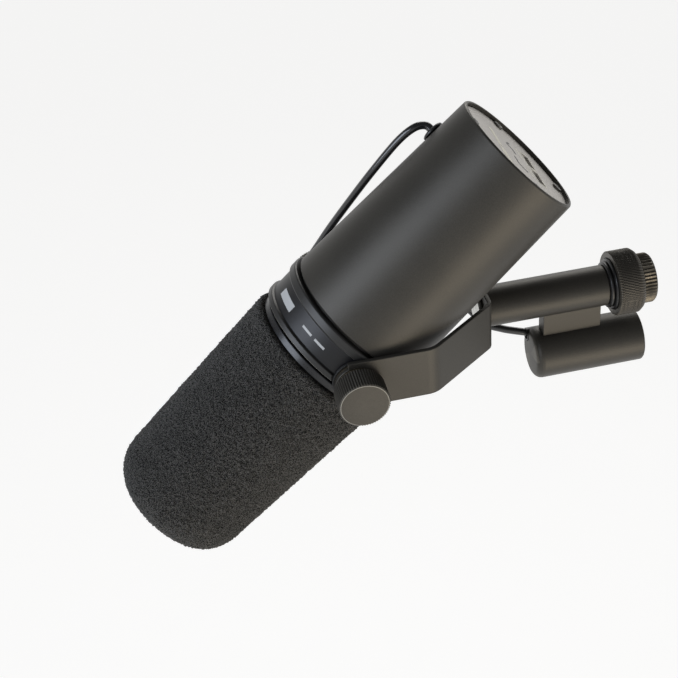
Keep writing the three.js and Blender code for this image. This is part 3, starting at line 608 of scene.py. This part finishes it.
def hose(name, path, radius, material, sides=24):
    """A round tube along a path, closed at both ends."""
    vertices, faces = [], []
    side = (path[1] - path[0]).orthogonal().normalized()
    for i, point in enumerate(path):
        ahead = path[min(i + 1, len(path) - 1)] - path[max(i - 1, 0)]
        side = (side - ahead.normalized() * side.dot(ahead.normalized())).normalized()
        other = ahead.normalized().cross(side)
        for k in range(sides):
            angle = 2 * math.pi * k / sides
            vertices.append(point + (side * math.cos(angle) + other * math.sin(angle)) * radius)
    for i in range(len(path) - 1):
        for k in range(sides):
            a, b = i * sides + k, i * sides + (k + 1) % sides
            faces.append((a, b, b + sides, a + sides))
    faces.append(tuple(range(sides)))
    faces.append(tuple(range(len(vertices) - sides, len(vertices))))
    return new_piece(name, vertices, faces, material)


# ---- Foam windscreen ----------------------------------------------------------------------------

FOAM_NOSE = 22.1 * MM       # length of the rounded nose
FOAM_FRONT_R = 28.1 * MM
FOAM_ROUNDING = 3.4         # exponent of the rounded nose
FOAM_EDGE = 1.3 * MM        # radius of the cut edge at the rear
FOAM_ROUGH = 0.7 * MM       # how far the open cells stand in and out


def foam_outline():
    tip, rear, rear_r = span("foam_windscreen", HEAD)
    shoulder = tip + FOAM_NOSE
    outline = []
    for k in range(61):
        t = math.sin(k / 60 * math.pi / 2)
        radius = FOAM_FRONT_R * (1 - t ** FOAM_ROUNDING) ** (1 / FOAM_ROUNDING)
        outline.append((shoulder - (shoulder - tip) * t, max(radius, 0.0)))
    outline.reverse()
    straight = rear - FOAM_EDGE - shoulder
    rows = 150
    for k in range(1, rows + 1):
        along = shoulder + straight * k / rows
        outline.append((along, FOAM_FRONT_R + (rear_r - FOAM_FRONT_R) * k / rows))
    for k in range(1, 7):
        angle = k / 6 * math.pi / 2
        along = rear - FOAM_EDGE + FOAM_EDGE * math.sin(angle)
        outline.append((along, rear_r - FOAM_EDGE * (1 - math.cos(angle))))
    cup = span("grille_cage", HEAD)
    bore = cup[2] + 0.3 * MM
    floor = cup[0] - 1.5 * MM
    return outline + [(rear, bore), (floor + 9 * MM, bore), (floor, bore - 9 * MM), (floor, 0.0)]


def foam_windscreen():
    outline = foam_outline()
    piece = lathe("windscreen_foam", HEAD, outline, MATERIALS["foam"], closed=False, sides=420)
    cage_r = span("grille_cage", HEAD)[2]
    axis, origin = HEAD.along, HEAD.origin
    normals = [vertex.normal.copy() for vertex in piece.data.vertices]
    for vertex, normal in zip(piece.data.vertices, normals):
        offset = vertex.co - origin
        radial = offset - axis * offset.dot(axis)
        if radial.length < cage_r + MM and offset.dot(axis) > outline[0][0] + 12 * MM:
            continue
        cells = 0.6 * noise.noise(vertex.co / (1.1 * MM)) + noise.noise(vertex.co / (0.5 * MM))
        broad = noise.noise(vertex.co / (17 * MM))
        vertex.co += normal * (FOAM_ROUGH * (0.1 + cells) - 0.12 * MM * broad)
    stand_for(piece, "foam_windscreen")


# ---- Head ---------------------------------------------------------------------------------------

HOUSING_AZIMUTH = -40       # a section clear of the screw holes and the cable hole


def grille():
    cage = turned("grille_cage", HEAD, radius=0.4 * MM, sides=144, azimuth_degrees=90)
    stand_for(cage, "grille_cage")
    start, end, radius = span("grille_cage", HEAD)
    rail = 8 * MM
    tools = []
    for k in range(3):
        turned_axes = Axes(HEAD.origin, HEAD.along, HEAD.across)
        angle = k * math.pi / 3
        turned_axes.across = HEAD.across * math.cos(angle) + HEAD.up * math.sin(angle)
        turned_axes.up = HEAD.along.cross(turned_axes.across)
        long = 2 * radius
        tools.append(brick(turned_axes, (start + rail, end - rail), (-long, long), (-rail, rail)))
    carve(cage, tools)
    screen = turned("grille_screen", HEAD, sides=144, material=WIRE_CLOTH)
    stand_for(screen, "grille_screen")


RIM_SLOPE = 1.4 * MM        # length of the slope from the collar up to the front rim, painted black as the shade of a recess
RIM_WIDTH = 3.4 * MM        # of each rim beside the band
STUD_HOLE_R = 3.3 * MM


def collar_and_ring():
    stand_for(turned("front_collar", HEAD, radius=0.5 * MM), "front_collar")
    front, rear, rim_r = span("pivot_ring", HEAD)
    collar_r = span("front_collar", HEAD)[2]
    edge = front + RIM_SLOPE
    outline, closed = outline_of("pivot_ring", HEAD)
    sloped = [(max(along, edge) if r > collar_r else along, r) for along, r in outline]
    finish = MATERIALS[SLOT_OF["pivot_ring"]]
    ring = lathe("pivot_ring_fine", HEAD, rounded(sloped, 0.3 * MM, closed), finish, closed, sides=192)
    stand_for(ring, "pivot_ring")
    spot_r = span("tightening_nut_right", PIVOTS["right"])[2]
    flat = span("plastic_washer_right", PIVOTS["right"])[0]
    tools = []
    for axes in PIVOTS.values():
        tools.append(rod(axes, flat, flat + 8 * MM, spot_r))
        tools.append(rod(axes, flat - 12 * MM, flat + MM, STUD_HOLE_R))
    carve(ring, tools)
    band = (front + RIM_WIDTH, rear - RIM_WIDTH)
    shaded_slope = (front, edge - 0.1 * MM)
    paint(ring, HEAD, BAND_BLACK, band, (BAND_R - 0.3 * MM, BAND_R + 0.15 * MM))
    # painted shade: the sloped front of the ring is black, as a shaded recess between collar and rim
    paint(ring, HEAD, MATERIALS["gloss_black"], shaded_slope, (collar_r - 3 * MM, rim_r - 0.2 * MM))
    # painted highlight: a thin pale line round the front and rear rim edges
    for lit in (edge, rear):
        paint(ring, HEAD, BARE_EDGE_AND_HIGHLIGHT, (lit - 0.1 * MM, lit + 0.12 * MM), (rim_r - 0.25 * MM, rim_r))


def housing():
    shell = turned("rear_housing", HEAD, HOUSING_AZIMUTH, radius=0.35 * MM, sides=224)
    rear, radius = span("rear_housing", HEAD)[1:]
    # painted highlight: the rear lip is painted pale all round, as a bare edge catching the light
    paint(shell, HEAD, BARE_EDGE_AND_HIGHLIGHT, (rear - 0.3 * MM, rear + MM), (radius - 1.6 * MM, radius + MM))
    stand_for(shell, "rear_housing")


WINDOW = {"across": 6 * MM, "up": -9.5 * MM, "width": 9.8 * MM, "height": 3.8 * MM}
SCREW_CIRCLE_R = 22.6 * MM
SCREW_HOLE_R = 1.2 * MM
SCREW_HEAD_R = 1.9 * MM
INK_HEIGHT = 0.04 * MM
LINE = 1.0 * MM


def stroke(points, width):
    """The outline of a line of even width through points (across, up)."""
    sides = ([], [])
    for i, point in enumerate(points):
        before = Vector(points[max(i - 1, 0)])
        after = Vector(points[min(i + 1, len(points) - 1)])
        along = (after - before).normalized()
        normal = Vector((-along.y, along.x)) * width / 2
        sides[0].append(tuple(Vector(point) + normal))
        sides[1].append(tuple(Vector(point) - normal))
    return sides[0] + sides[1][::-1]


def roll_off_curve(across):
    """A plain low-cut symbol: level, then falling."""
    steps = np.linspace(0, 8, 24)
    return [(across + (t - 4) * MM, (1.6 - 0.22 * max(4 - t, 0) ** 2) * MM) for t in steps]


def lift_curve(across):
    """A plain presence symbol: level, with a low hump."""
    steps = np.linspace(0, 8, 24)
    return [(across + (t - 4) * MM, (2.2 * math.exp(-((t - 5.4) / 1.5) ** 2) - 0.6) * MM) for t in steps]


def rear_panel():
    """The recessed panel with its two windows, screw holes and plain symbols."""
    level, top, radius = span("rear_panel", HEAD)
    loops = [circle(0, 0, radius, 160)]
    for side in (1, -1):
        place = (side * WINDOW["across"], WINDOW["up"])
        loops.append(rectangle(*place, WINDOW["width"], WINDOW["height"], 0.5 * MM))
    for k in range(4):
        angle = k * math.pi / 2
        place = (SCREW_CIRCLE_R * math.cos(angle), SCREW_CIRCLE_R * math.sin(angle))
        loops.append(circle(*place, SCREW_HOLE_R, 24))
    panel = plate("rear_panel_fine", HEAD, loops, level, top - level, MATERIALS["panel_grey"], 0.12 * MM)
    stand_for(panel, "rear_panel")
    for name, curve in (("low_cut", roll_off_curve(-6 * MM)), ("presence", lift_curve(6 * MM))):
        ink = MATERIALS["black_plastic"]
        line = plate(name + "_symbol", HEAD, [stroke(curve, LINE)], top, INK_HEIGHT, ink)
        on_head(line)
    legend_bars(top)


LEGEND_BARS = (             # across, up, width and height, in mm
    (-10, 9.2, 13, 2.6),
    (4.5, 9.2, 13, 2.2),
    (-6.5, -4.6, 8, 0.8),
    (6.5, -4.6, 8, 0.8),
)
WINDOW_FRAME = 0.55 * MM


def legend_bars(top):
    """Plain bars where a maker would print legends, and a printed frame round each window."""
    printed = []
    for across, up, width, height in LEGEND_BARS:
        printed.append([rectangle(across * MM, up * MM, width * MM, height * MM, 0.3 * MM)])
    for side in (1, -1):
        place = (side * WINDOW["across"], WINDOW["up"])
        grown = (WINDOW["width"] + 2 * WINDOW_FRAME, WINDOW["height"] + 2 * WINDOW_FRAME)
        inner = (WINDOW["width"] + 0.1 * MM, WINDOW["height"] + 0.1 * MM)
        printed.append([rectangle(*place, *grown, 0.6 * MM), rectangle(*place, *inner, 0.5 * MM)])
    for number, loops in enumerate(printed, 1):
        bar = plate(f"panel_print_{number}", HEAD, loops, top, INK_HEIGHT, CREAM_INK)
        on_head(bar)


def panel_screws():
    """Pan-head screws with a cross recess."""
    recess, arm = 0.42 * MM, 1.25 * MM
    half = 0.26 * MM
    cross = [(half, half), (arm, half), (arm, -half), (half, -half), (half, -arm), (-half, -arm)]
    cross += [(-x, -y) for x, y in cross]
    for k in range(4):
        node = f"panel_screw_{k + 1}"
        angle = k * math.pi / 2
        axes = Axes(HEAD.polar(0, SCREW_CIRCLE_R, angle), HEAD.along)
        start, end, _ = span(node, axes)
        face = end - recess
        shank = 0.9 * MM
        under = span("rear_panel", HEAD)[1]
        outline = [(start, 0), (start, shank), (under, shank)]
        outline += [(under, SCREW_HEAD_R), (face, SCREW_HEAD_R), (face, 0)]
        screw = lathe(node + "_fine", axes, outline, DARK_STEEL, False, sides=48)
        stand_for(screw, node)
        loops = [circle(0, 0, SCREW_HEAD_R, 48), cross]
        top = plate(node + "_head", axes, loops, face, recess, DARK_STEEL, 0.1 * MM)
        on_head(top)


def switch_levers():
    for node in ("bass_switch", "presence_switch"):
        softened(node, 0.2 * MM, MATERIALS["black_plastic"])


def show(node, material):
    """A CAD node that is shown as it is, with a better material."""
    for slot in frame["nodes"][node].material_slots:
        slot.material = material


def softened(node, radius, material):
    """A copy of a CAD node with its sharp edges rounded."""
    solid = bmesh.new()
    solid.from_mesh(frame["nodes"][node].data)
    bmesh.ops.remove_doubles(solid, verts=solid.verts, dist=1e-7)
    flattest, sharpest = math.radians(1), math.radians(40)
    bmesh.ops.dissolve_limit(solid, angle_limit=flattest, verts=solid.verts, edges=solid.edges)
    sharp = [edge for edge in solid.edges if edge.calc_face_angle(0.0) > sharpest]
    settings = {"segments": 2, "profile": 0.5, "affect": "EDGES", "clamp_overlap": True}
    bmesh.ops.bevel(solid, geom=sharp, offset=radius, **settings)
    mesh = bpy.data.meshes.new(node + "_fine")
    solid.to_mesh(mesh)
    solid.free()
    return stand_for(dress(mesh, node + "_fine", material), node)


BAND_R = 29.7 * MM
BAND_MIDDLE = 1.55 * MM     # the band's middle, counted from the pivot
BAND_MARKS = (              # angle round the head, length round it and width along it
    (98, 11 * MM, 3.2 * MM),
    (129, 5 * MM, 0.9 * MM),
    (142, 5 * MM, 0.9 * MM),
)


def band_marks():
    """Plain bars printed on the band, curved to its surface."""
    steps = 24
    for number, (degrees, length, width) in enumerate(BAND_MARKS, 1):
        vertices, faces = [], []
        sweep = length / BAND_R
        for i in range(steps + 1):
            angle = math.radians(degrees) + sweep * (i / steps - 0.5)
            for lift in (-0.03 * MM, INK_HEIGHT):
                for side in (-0.5, 0.5):
                    vertices.append(HEAD.polar(BAND_MIDDLE + side * width, BAND_R + lift, angle))
        for i in range(steps):
            a = 4 * i
            faces += [(a, a + 1, a + 5, a + 4), (a + 2, a + 6, a + 7, a + 3)]
            faces += [(a, a + 4, a + 6, a + 2), (a + 1, a + 3, a + 7, a + 5)]
        last = 4 * steps
        faces += [(0, 2, 3, 1), (last, last + 1, last + 3, last + 2)]
        bar = new_piece(f"band_bar_{number}", vertices, faces, PALE_INK)
        on_head(bar)


def grommet():
    centre = middle("cable_grommet")
    outward = centre - HEAD.point((centre - HEAD.origin).dot(HEAD.along))
    axes = Axes(centre, outward, HEAD.along)
    # the solid's corner columns start at the direction that the head's own up direction turns into
    outline, closed = outline_of("cable_grommet", axes, 90)
    soft = rounded(outline, 0.35 * MM, closed)
    piece = lathe("cable_grommet_fine", axes, soft, MATERIALS["black_rubber"], closed, sides=64)
    stand_for(piece, "cable_grommet")


# ---- Pivots -------------------------------------------------------------------------------------

KNOB_TEETH = 60
KNOB_DEPTH = 0.32 * MM
KNOB_CHAMFER = 0.45 * MM
CLEARANCE = 0.02 * MM       # taken off each face of a washer, so that turning neighbours don't touch


def ridges(teeth, depth, start, end, slant=0.0):
    """A knurl: pointed ridges between two places along the axis, fading out at both ends."""
    def shape(along, radius, angle):
        if not start <= along <= end:
            return radius
        phase = (teeth * angle / (2 * math.pi) + slant * (along - start) / (end - start)) % 1.0
        return radius - depth * abs(2 * phase - 1)
    return shape


def knurled(name, axes, outline, closed, teeth, depth, band, material, slant=0.0):
    start, end = band
    rows = 10 if slant else 2
    dense = []
    for (a, ra), (b, rb) in zip(outline, outline[1:]):
        dense.append((a, ra))
        if abs(a - start) < 1e-6 and abs(b - end) < 1e-6:
            dense += [(a + (b - a) * k / rows, ra) for k in range(1, rows)]
    dense.append(outline[-1])
    return lathe(name, axes, dense, material, closed, teeth * 8, ridges(teeth, depth, start, end, slant))


def washer(node, axes):
    """A washer made a little thinner than its CAD solid."""
    inner, outer, _ = span(node, axes)
    outline, closed = outline_of(node, axes, 90)
    low, high = inner + CLEARANCE, outer - CLEARANCE
    thinner = rounded([(min(max(along, low), high), r) for along, r in outline], 0.15 * MM, closed)
    piece = lathe(node + "_fine", axes, thinner, MATERIALS[SLOT_OF[node]], closed, sides=96)
    stand_for(piece, node)


def pivot_hardware():
    washers = ("plastic_washer", "inner_brass_washer", "pivot_sleeve", "outer_brass_washer", "fitted_washer")
    for side, axes in PIVOTS.items():
        for kind in washers:
            washer(f"{kind}_{side}", axes)
        node = f"pivot_stud_{side}"
        stand_for(turned(node, axes, 90, radius=0.3 * MM, sides=64), node)
        show(f"lock_washer_{side}", MATERIALS["steel"])
        node = f"tightening_nut_{side}"
        inner, outer, radius = span(node, axes)
        chamfer = KNOB_CHAMFER
        bore, floor = STUD_HOLE_R, outer - 1.5 * MM
        outline = [(floor, 0), (floor, bore), (inner, bore)]
        outline += [(inner, radius - chamfer), (inner + chamfer, radius)]
        outline += [(outer - chamfer, radius), (outer - 0.12 * MM, radius - chamfer - 0.1 * MM)]
        outline += [(outer, radius - chamfer - 0.35 * MM), (outer, 0)]
        band = (inner + chamfer, outer - chamfer)
        args = (KNOB_TEETH, KNOB_DEPTH, band, MATERIALS["dark_enamel"])
        knob = knurled(node + "_fine", axes, outline, False, *args)
        # painted highlight: a thin pale ring on the knob's outer chamfer
        lip = radius - chamfer - 0.4 * MM
        paint(knob, axes, BARE_EDGE_AND_HIGHLIGHT, (outer - 0.1 * MM, outer - 0.01 * MM), (lip, radius))
        stand_for(knob, node)


# ---- Yoke ---------------------------------------------------------------------------------------

ARM_BEND_R = 8.2 * MM
BASE_BEND_R = 3.4 * MM
ARM_BEND_X = 28.8 * MM      # where the straight arm would meet the slanting stretch
BASE_HALF = 11.9 * MM       # half of the base, measured the same way
ARM_END_R = 8.4 * MM
ARM_STEP_X = -3 * MM
STRIP = 1.7 * MM
YOKE_EDGE = 0.35 * MM
SLEEVE_HOLE_R = 5.5 * MM
BOLT_HOLE_R = 3.3 * MM


class BentPath:
    """The middle line of the yoke strip: straight stretches and arcs, from an arm's end to the base."""

    def __init__(self, knots, radii, step=0.35 * MM):
        self.points = [Vector(knots[0])]
        for i in range(1, len(knots) - 1):
            before = (Vector(knots[i - 1]) - Vector(knots[i])).normalized()
            after = (Vector(knots[i + 1]) - Vector(knots[i])).normalized()
            half = before.angle(after) / 2
            reach = radii[i] / math.tan(half)
            start = Vector(knots[i]) + before * reach
            end = Vector(knots[i]) + after * reach
            centre = Vector(knots[i]) + (before + after).normalized() * radii[i] / math.sin(half)
            steps = max(4, int(radii[i] * (math.pi - 2 * half) / step))
            first, last = start - centre, end - centre
            for k in range(steps + 1):
                t = k / steps
                self.points.append(centre + first.slerp(last, t) * radii[i])
        self.points.append(Vector(knots[-1]))
        self.reach = [0.0]
        for a, b in zip(self.points, self.points[1:]):
            self.reach.append(self.reach[-1] + (b - a).length)

    def at(self, distance):
        """The point and the outward normal at a distance along the path."""
        distance = min(max(distance, 0.0), self.reach[-1])
        i = min(int(np.searchsorted(self.reach, distance, side="right")) - 1, len(self.points) - 2)
        share = (distance - self.reach[i]) / max(self.reach[i + 1] - self.reach[i], 1e-12)
        point = self.points[i].lerp(self.points[i + 1], share)
        ends = [self.direction(max(i, 0)), self.direction(i + 1)]
        along = ends[0].lerp(ends[1], share).normalized()
        return point, Vector((-along.y, along.x))

    def direction(self, i):
        before = self.points[max(i - 1, 0)]
        after = self.points[min(i + 1, len(self.points) - 1)]
        return (after - before).normalized()


def yoke():
    """A flat blank with round ends and holes, its edges softened, then bent to the U of the yoke."""
    low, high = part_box("yoke")
    half_height = (high.z - low.z) / 2
    arm_y = high.y - STRIP / 2
    base_x = high.x - PIVOT.x - STRIP / 2
    knots = [(-ARM_END_R, arm_y), (ARM_BEND_X, arm_y), (base_x, BASE_HALF), (base_x, 0)]
    path = BentPath(knots, [0, ARM_BEND_R, BASE_BEND_R, 0])
    length = path.reach[-1]
    blank = yoke_blank(length, half_height)
    solid = bmesh.new()
    solid.from_mesh(blank.data)
    for distance in path.reach[1:-1]:
        for side in (-1, 1):
            place = (side * (length - distance), 0, 0)
            everything = solid.verts[:] + solid.edges[:] + solid.faces[:]
            bmesh.ops.bisect_plane(solid, geom=everything, plane_co=place, plane_no=(1, 0, 0), dist=1e-7)
    for vertex in solid.verts:
        side = -1 if vertex.co.x < 0 else 1
        point, outward = path.at(length - abs(vertex.co.x))
        place = point + outward * vertex.co.z
        vertex.co = PIVOT + Vector((place.x, side * place.y, vertex.co.y))
    solid.to_mesh(blank.data)
    solid.free()
    piece = dress(blank.data.copy(), "yoke_fine", BLOCK_ENAMEL)
    bpy.data.objects.remove(blank)
    stand_for(piece, "yoke")


def yoke_blank(length, half_height):
    """The blank lies flat: X along the strip, Y up the arm and Z through its thickness."""
    step_angle = math.acos(ARM_STEP_X / ARM_END_R)
    end = []
    for k in range(41):
        angle = step_angle + (2 * math.pi - 2 * step_angle) * k / 40
        end.append((-length + ARM_END_R + ARM_END_R * math.cos(angle), ARM_END_R * math.sin(angle)))
    step_x = -length + ARM_END_R + ARM_STEP_X
    half_loop = [(step_x, half_height)] + end + [(step_x, -half_height)]
    loop = half_loop + [(-x, y) for x, y in reversed(half_loop)]
    pivot_x = length - ARM_END_R
    loops = [loop, circle(-pivot_x, 0, SLEEVE_HOLE_R, 64), circle(pivot_x, 0, SLEEVE_HOLE_R, 64)]
    loops.append(circle(0, 0, BOLT_HOLE_R, 48))
    flat = Axes((0, 0, 0), Z, X)
    return plate("blank", flat, loops, -STRIP / 2, STRIP, PALE_INK, YOKE_EDGE)


# ---- Stand tube, nut and socket -----------------------------------------------------------------

NUT_TEETH = 76
NUT_DEPTH = 0.46 * MM
NUT_SLANT = -3.2            # ridges that the knurl leans over between its two ends
NUT_SETBACK = 1.1 * MM      # how far the shown front lies behind the front of the CAD solid
ADAPTER_TEETH = 44
ADAPTER_DEPTH = 0.42 * MM


def stand_tube():
    for node in ("mount_tube", "tube_bushing", "thread_seat"):
        soft = 0.5 * MM if node == "tube_bushing" else SOFT_EDGE
        stand_for(turned(node, TUBE, radius=soft), node)
    bolt = turned("yoke_bolt", TUBE, 90, radius=0.4 * MM, sides=96)
    start, _, radius = span("yoke_bolt", TUBE)
    slot = brick(TUBE, (start - MM, start + 1.4 * MM), (-2 * radius, 2 * radius), (-0.7 * MM, 0.7 * MM))
    stand_for(carve(bolt, [slot]), "yoke_bolt")


def captive_nut():
    front, rear, radius = span("captive_nut", TUBE)
    room, neck, room_end = 10.3 * MM, 8.3 * MM, front + 1.9 * MM
    front += NUT_SETBACK
    shoulder, lip, chamfer = 1.5 * MM, 1.2 * MM, 0.4 * MM
    outline = [(room_end, neck), (room_end, room), (front, room), (front, radius - chamfer)]
    outline += [(front + chamfer, radius), (rear - shoulder, radius), (rear, radius - lip), (rear, neck)]
    band = (front + chamfer, rear - shoulder)
    args = (NUT_TEETH, NUT_DEPTH, band, NUT_SHADED_ENAMEL, NUT_SLANT)
    stand_for(knurled("captive_nut_fine", TUBE, outline, True, *args), "captive_nut")


def thread_adapter():
    start, end, radius = span("thread_adapter", TUBE)
    nut_rear = span("captive_nut", TUBE)[1]
    bore, thread = 4.9 * MM, 8 * MM
    flange, knurl_end = nut_rear + 0.3 * MM, end - 0.7 * MM
    edge = 0.5 * MM
    outline = [(start, bore), (start, thread), (flange, thread), (flange, radius - edge)]
    outline += [(flange + edge, radius), (knurl_end, radius), (end, radius - 0.6 * MM), (end, bore)]
    args = (ADAPTER_TEETH, ADAPTER_DEPTH, (flange + edge, knurl_end), MATERIALS["bronzed"])
    stand_for(knurled("thread_adapter_fine", TUBE, outline, True, *args), "thread_adapter")


def socket():
    shell = turned("connector_housing", SOCKET, 180, radius=0.3 * MM)
    entry = Axes(middle("cable_boot"), X)
    half_boot = span("cable_boot", entry)
    carve(shell, [rod(entry, half_boot[0] - 3 * MM, half_boot[1] + MM, half_boot[2] + 0.3 * MM)])
    stand_for(shell, "connector_housing")
    insert = turned("connector_insert", SOCKET, 90, radius=0.3 * MM, sides=96)
    stand_for(insert, "connector_insert")
    for k in range(3):
        node = f"connector_pin_{k + 1}"
        axes = Axes(middle(node), X)
        stand_for(turned(node, axes, radius=0.3 * MM, sides=32), node)
    stand_for(turned("cable_boot", entry, radius=0.2 * MM, sides=48), "cable_boot")
    softened("bridge_block", 0.3 * MM, BLOCK_ENAMEL)


# ---- Cable --------------------------------------------------------------------------------------

CABLE_R = 1.5 * MM
WRAP_R = 11.5 * MM          # radius of the turn round the right pivot
CABLE_Y = 34.7 * MM


def cable():
    """One cable from the grommet, round the pivot and along the far arm to the socket."""
    grommet_s, azimuth = 79 * MM, math.radians(50)
    housing_r = 27.1 * MM
    near_head = [(38, 27.4, 20.8), (22, 32, 16), (8, 34.7, 12)]
    out = [HEAD.polar(grommet_s, housing_r + reach * MM, azimuth) for reach in (-4, 1.5)]
    over = [(78.4, 20, 24.2), (75, 20, 26.8), (67, 21, 27.2), (52, 23.6, 24.6)]
    path = out + [HEAD.point(*(v * MM for v in place)) for place in over + near_head]
    for degrees in range(137, 271, 19):
        angle = math.radians(degrees)
        path.append(PIVOT + Vector((WRAP_R * math.cos(angle), CABLE_Y, WRAP_R * math.sin(angle))))
    entry = middle("cable_boot") - PIVOT
    under = [(14, 34.7, -8.5), (27, 35.1, -5), (42, 25.4, -5.5), (53, 17, -10)]
    under += [(60, 10.5, -16), (66, 7.6, -18), (72, 6.2, -19.6)]
    path += [PIVOT + Vector(place) * MM for place in under]
    path.append(PIVOT + entry)
    piece = hose("cable_fine", smooth_path(path, 0.9 * MM), CABLE_R, MATERIALS["cable_black"])
    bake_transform(piece)
    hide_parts("cable_head_side", "cable_yoke_side")


# ---- Stage, light and camera --------------------------------------------------------------------

FLOOR_DROP = 0.95           # the floor lies below the lowest lamp, so that no lamp cuts through it


def studio():
    """A plain pale floor under a soft room: bright below and at the sides, dark overhead."""
    floor_level = cad_box[0].z - FLOOR_DROP
    bpy.ops.mesh.primitive_plane_add(size=30, location=(PIVOT.x, 0, floor_level))
    floor = bpy.context.object
    floor.name = "floor"
    s = Shader("floor_paper")
    paper = s.noise(0.05, detail=2)
    floor.data.materials.append(
        s.finish(
            Base_Color=s.ramp(paper, shades((0.3, 0.3, 0.3), 0.01)),
            Roughness=0.9,
            Specular_IOR_Level=0.1,
            Emission_Color=(1, 0.997, 0.99, 1),
            Emission_Strength=0.84,
        )
    )
    room()
    softbox("cool_left", (-0.84, -0.33, 0.43), distance=1.1, size=0.7, watts=8, colour=(0.8, 0.87, 1.0))
    softbox("warm_front", (0.38, -0.8, -0.44), distance=1.2, size=0.6, watts=4.2, colour=(1.0, 0.87, 0.68))
    softbox("back_fill", (0.35, 0.85, 0.4), distance=1.4, size=0.7, watts=5, colour=(1.0, 0.98, 0.95))


def room():
    world = bpy.data.worlds.new("room")
    bpy.context.scene.world = world
    world.use_nodes = True
    nodes, links = world.node_tree.nodes, world.node_tree.links
    direction = nodes.new("ShaderNodeTexCoord").outputs["Generated"]
    height = nodes.new("ShaderNodeSeparateXYZ")
    links.new(direction, height.inputs["Vector"])
    ramp = nodes.new("ShaderNodeMapRange")
    for key, value in {"From Min": -0.1, "From Max": 0.6, "To Min": 0.85, "To Max": 0.12}.items():
        ramp.inputs[key].default_value = value
    links.new(height.outputs["Z"], ramp.inputs["Value"])
    seen = nodes.new("ShaderNodeLightPath")
    shown = nodes.new("ShaderNodeMix")
    shown.inputs["B"].default_value = 0.94
    links.new(seen.outputs["Is Camera Ray"], shown.inputs["Factor"])
    links.new(ramp.outputs["Result"], shown.inputs["A"])
    links.new(shown.outputs["Result"], nodes["Background"].inputs["Strength"])
    nodes["Background"].inputs["Color"].default_value = (1, 1, 1, 1)


def softbox(name, direction, distance, size, watts, colour):
    light = bpy.data.lights.new(name, "AREA")
    light.shape, light.size, light.energy, light.color = "SQUARE", size, watts, colour
    lamp = bpy.data.objects.new(name, light)
    away = Vector(direction).normalized()
    lamp.location = PIVOT + away * distance
    lamp.rotation_mode = "QUATERNION"
    lamp.rotation_quaternion = away.to_track_quat("Z", "Y")
    lamp.visible_camera = False
    bpy.context.scene.collection.objects.link(lamp)


CAMERA = {"azimuth": -9.152, "elevation": 37.343, "roll": -4.76, "distance": 0.5551, "lens": 77.944}
CAMERA_TARGET = Vector((-0.42, -1.32, -1.80)) * MM  # the point looked at, from the pivot


def camera():
    """Azimuth 0 looks along +Y. The roll turns the camera about its own line of sight."""
    azimuth, elevation = math.radians(CAMERA["azimuth"]), math.radians(CAMERA["elevation"])
    flat = math.cos(elevation)
    back = Vector((math.sin(azimuth) * flat, -math.cos(azimuth) * flat, math.sin(elevation)))
    data = bpy.data.cameras.new("camera")
    data.sensor_width, data.lens = 36, CAMERA["lens"]
    data.clip_start, data.clip_end = 0.01, 60
    eye = bpy.data.objects.new("camera", data)
    eye.location = PIVOT + CAMERA_TARGET + back * CAMERA["distance"]
    eye.rotation_mode = "QUATERNION"
    level = Vector((math.cos(azimuth), math.sin(azimuth), 0))
    upright = back.cross(level)
    roll = math.radians(CAMERA["roll"])
    right = level * math.cos(roll) + upright * math.sin(roll)
    basis = Matrix((right, back.cross(right), back)).transposed()
    eye.rotation_quaternion = basis.to_quaternion()
    bpy.context.scene.collection.objects.link(eye)
    bpy.context.scene.camera = eye
    bpy.context.scene.view_settings.view_transform = "Standard"


# ---- Assembly -----------------------------------------------------------------------------------

for hidden_inside in (
    "cartridge_can", "diaphragm", "magnet", "pole_piece", "pop_filter", "hum_coil", "rear_chamber",
    "shock_mount_front", "shock_mount_rear", "filter_board", "inductor_core", "inductor_coil",
):
    show(hidden_inside, MATERIALS[SLOT_OF[hidden_inside]])

foam_windscreen()
grille()
collar_and_ring()
housing()
rear_panel()
panel_screws()
switch_levers()
band_marks()
grommet()
pivot_hardware()
yoke()
stand_tube()
captive_nut()
thread_adapter()
socket()
cable()
studio()
camera()
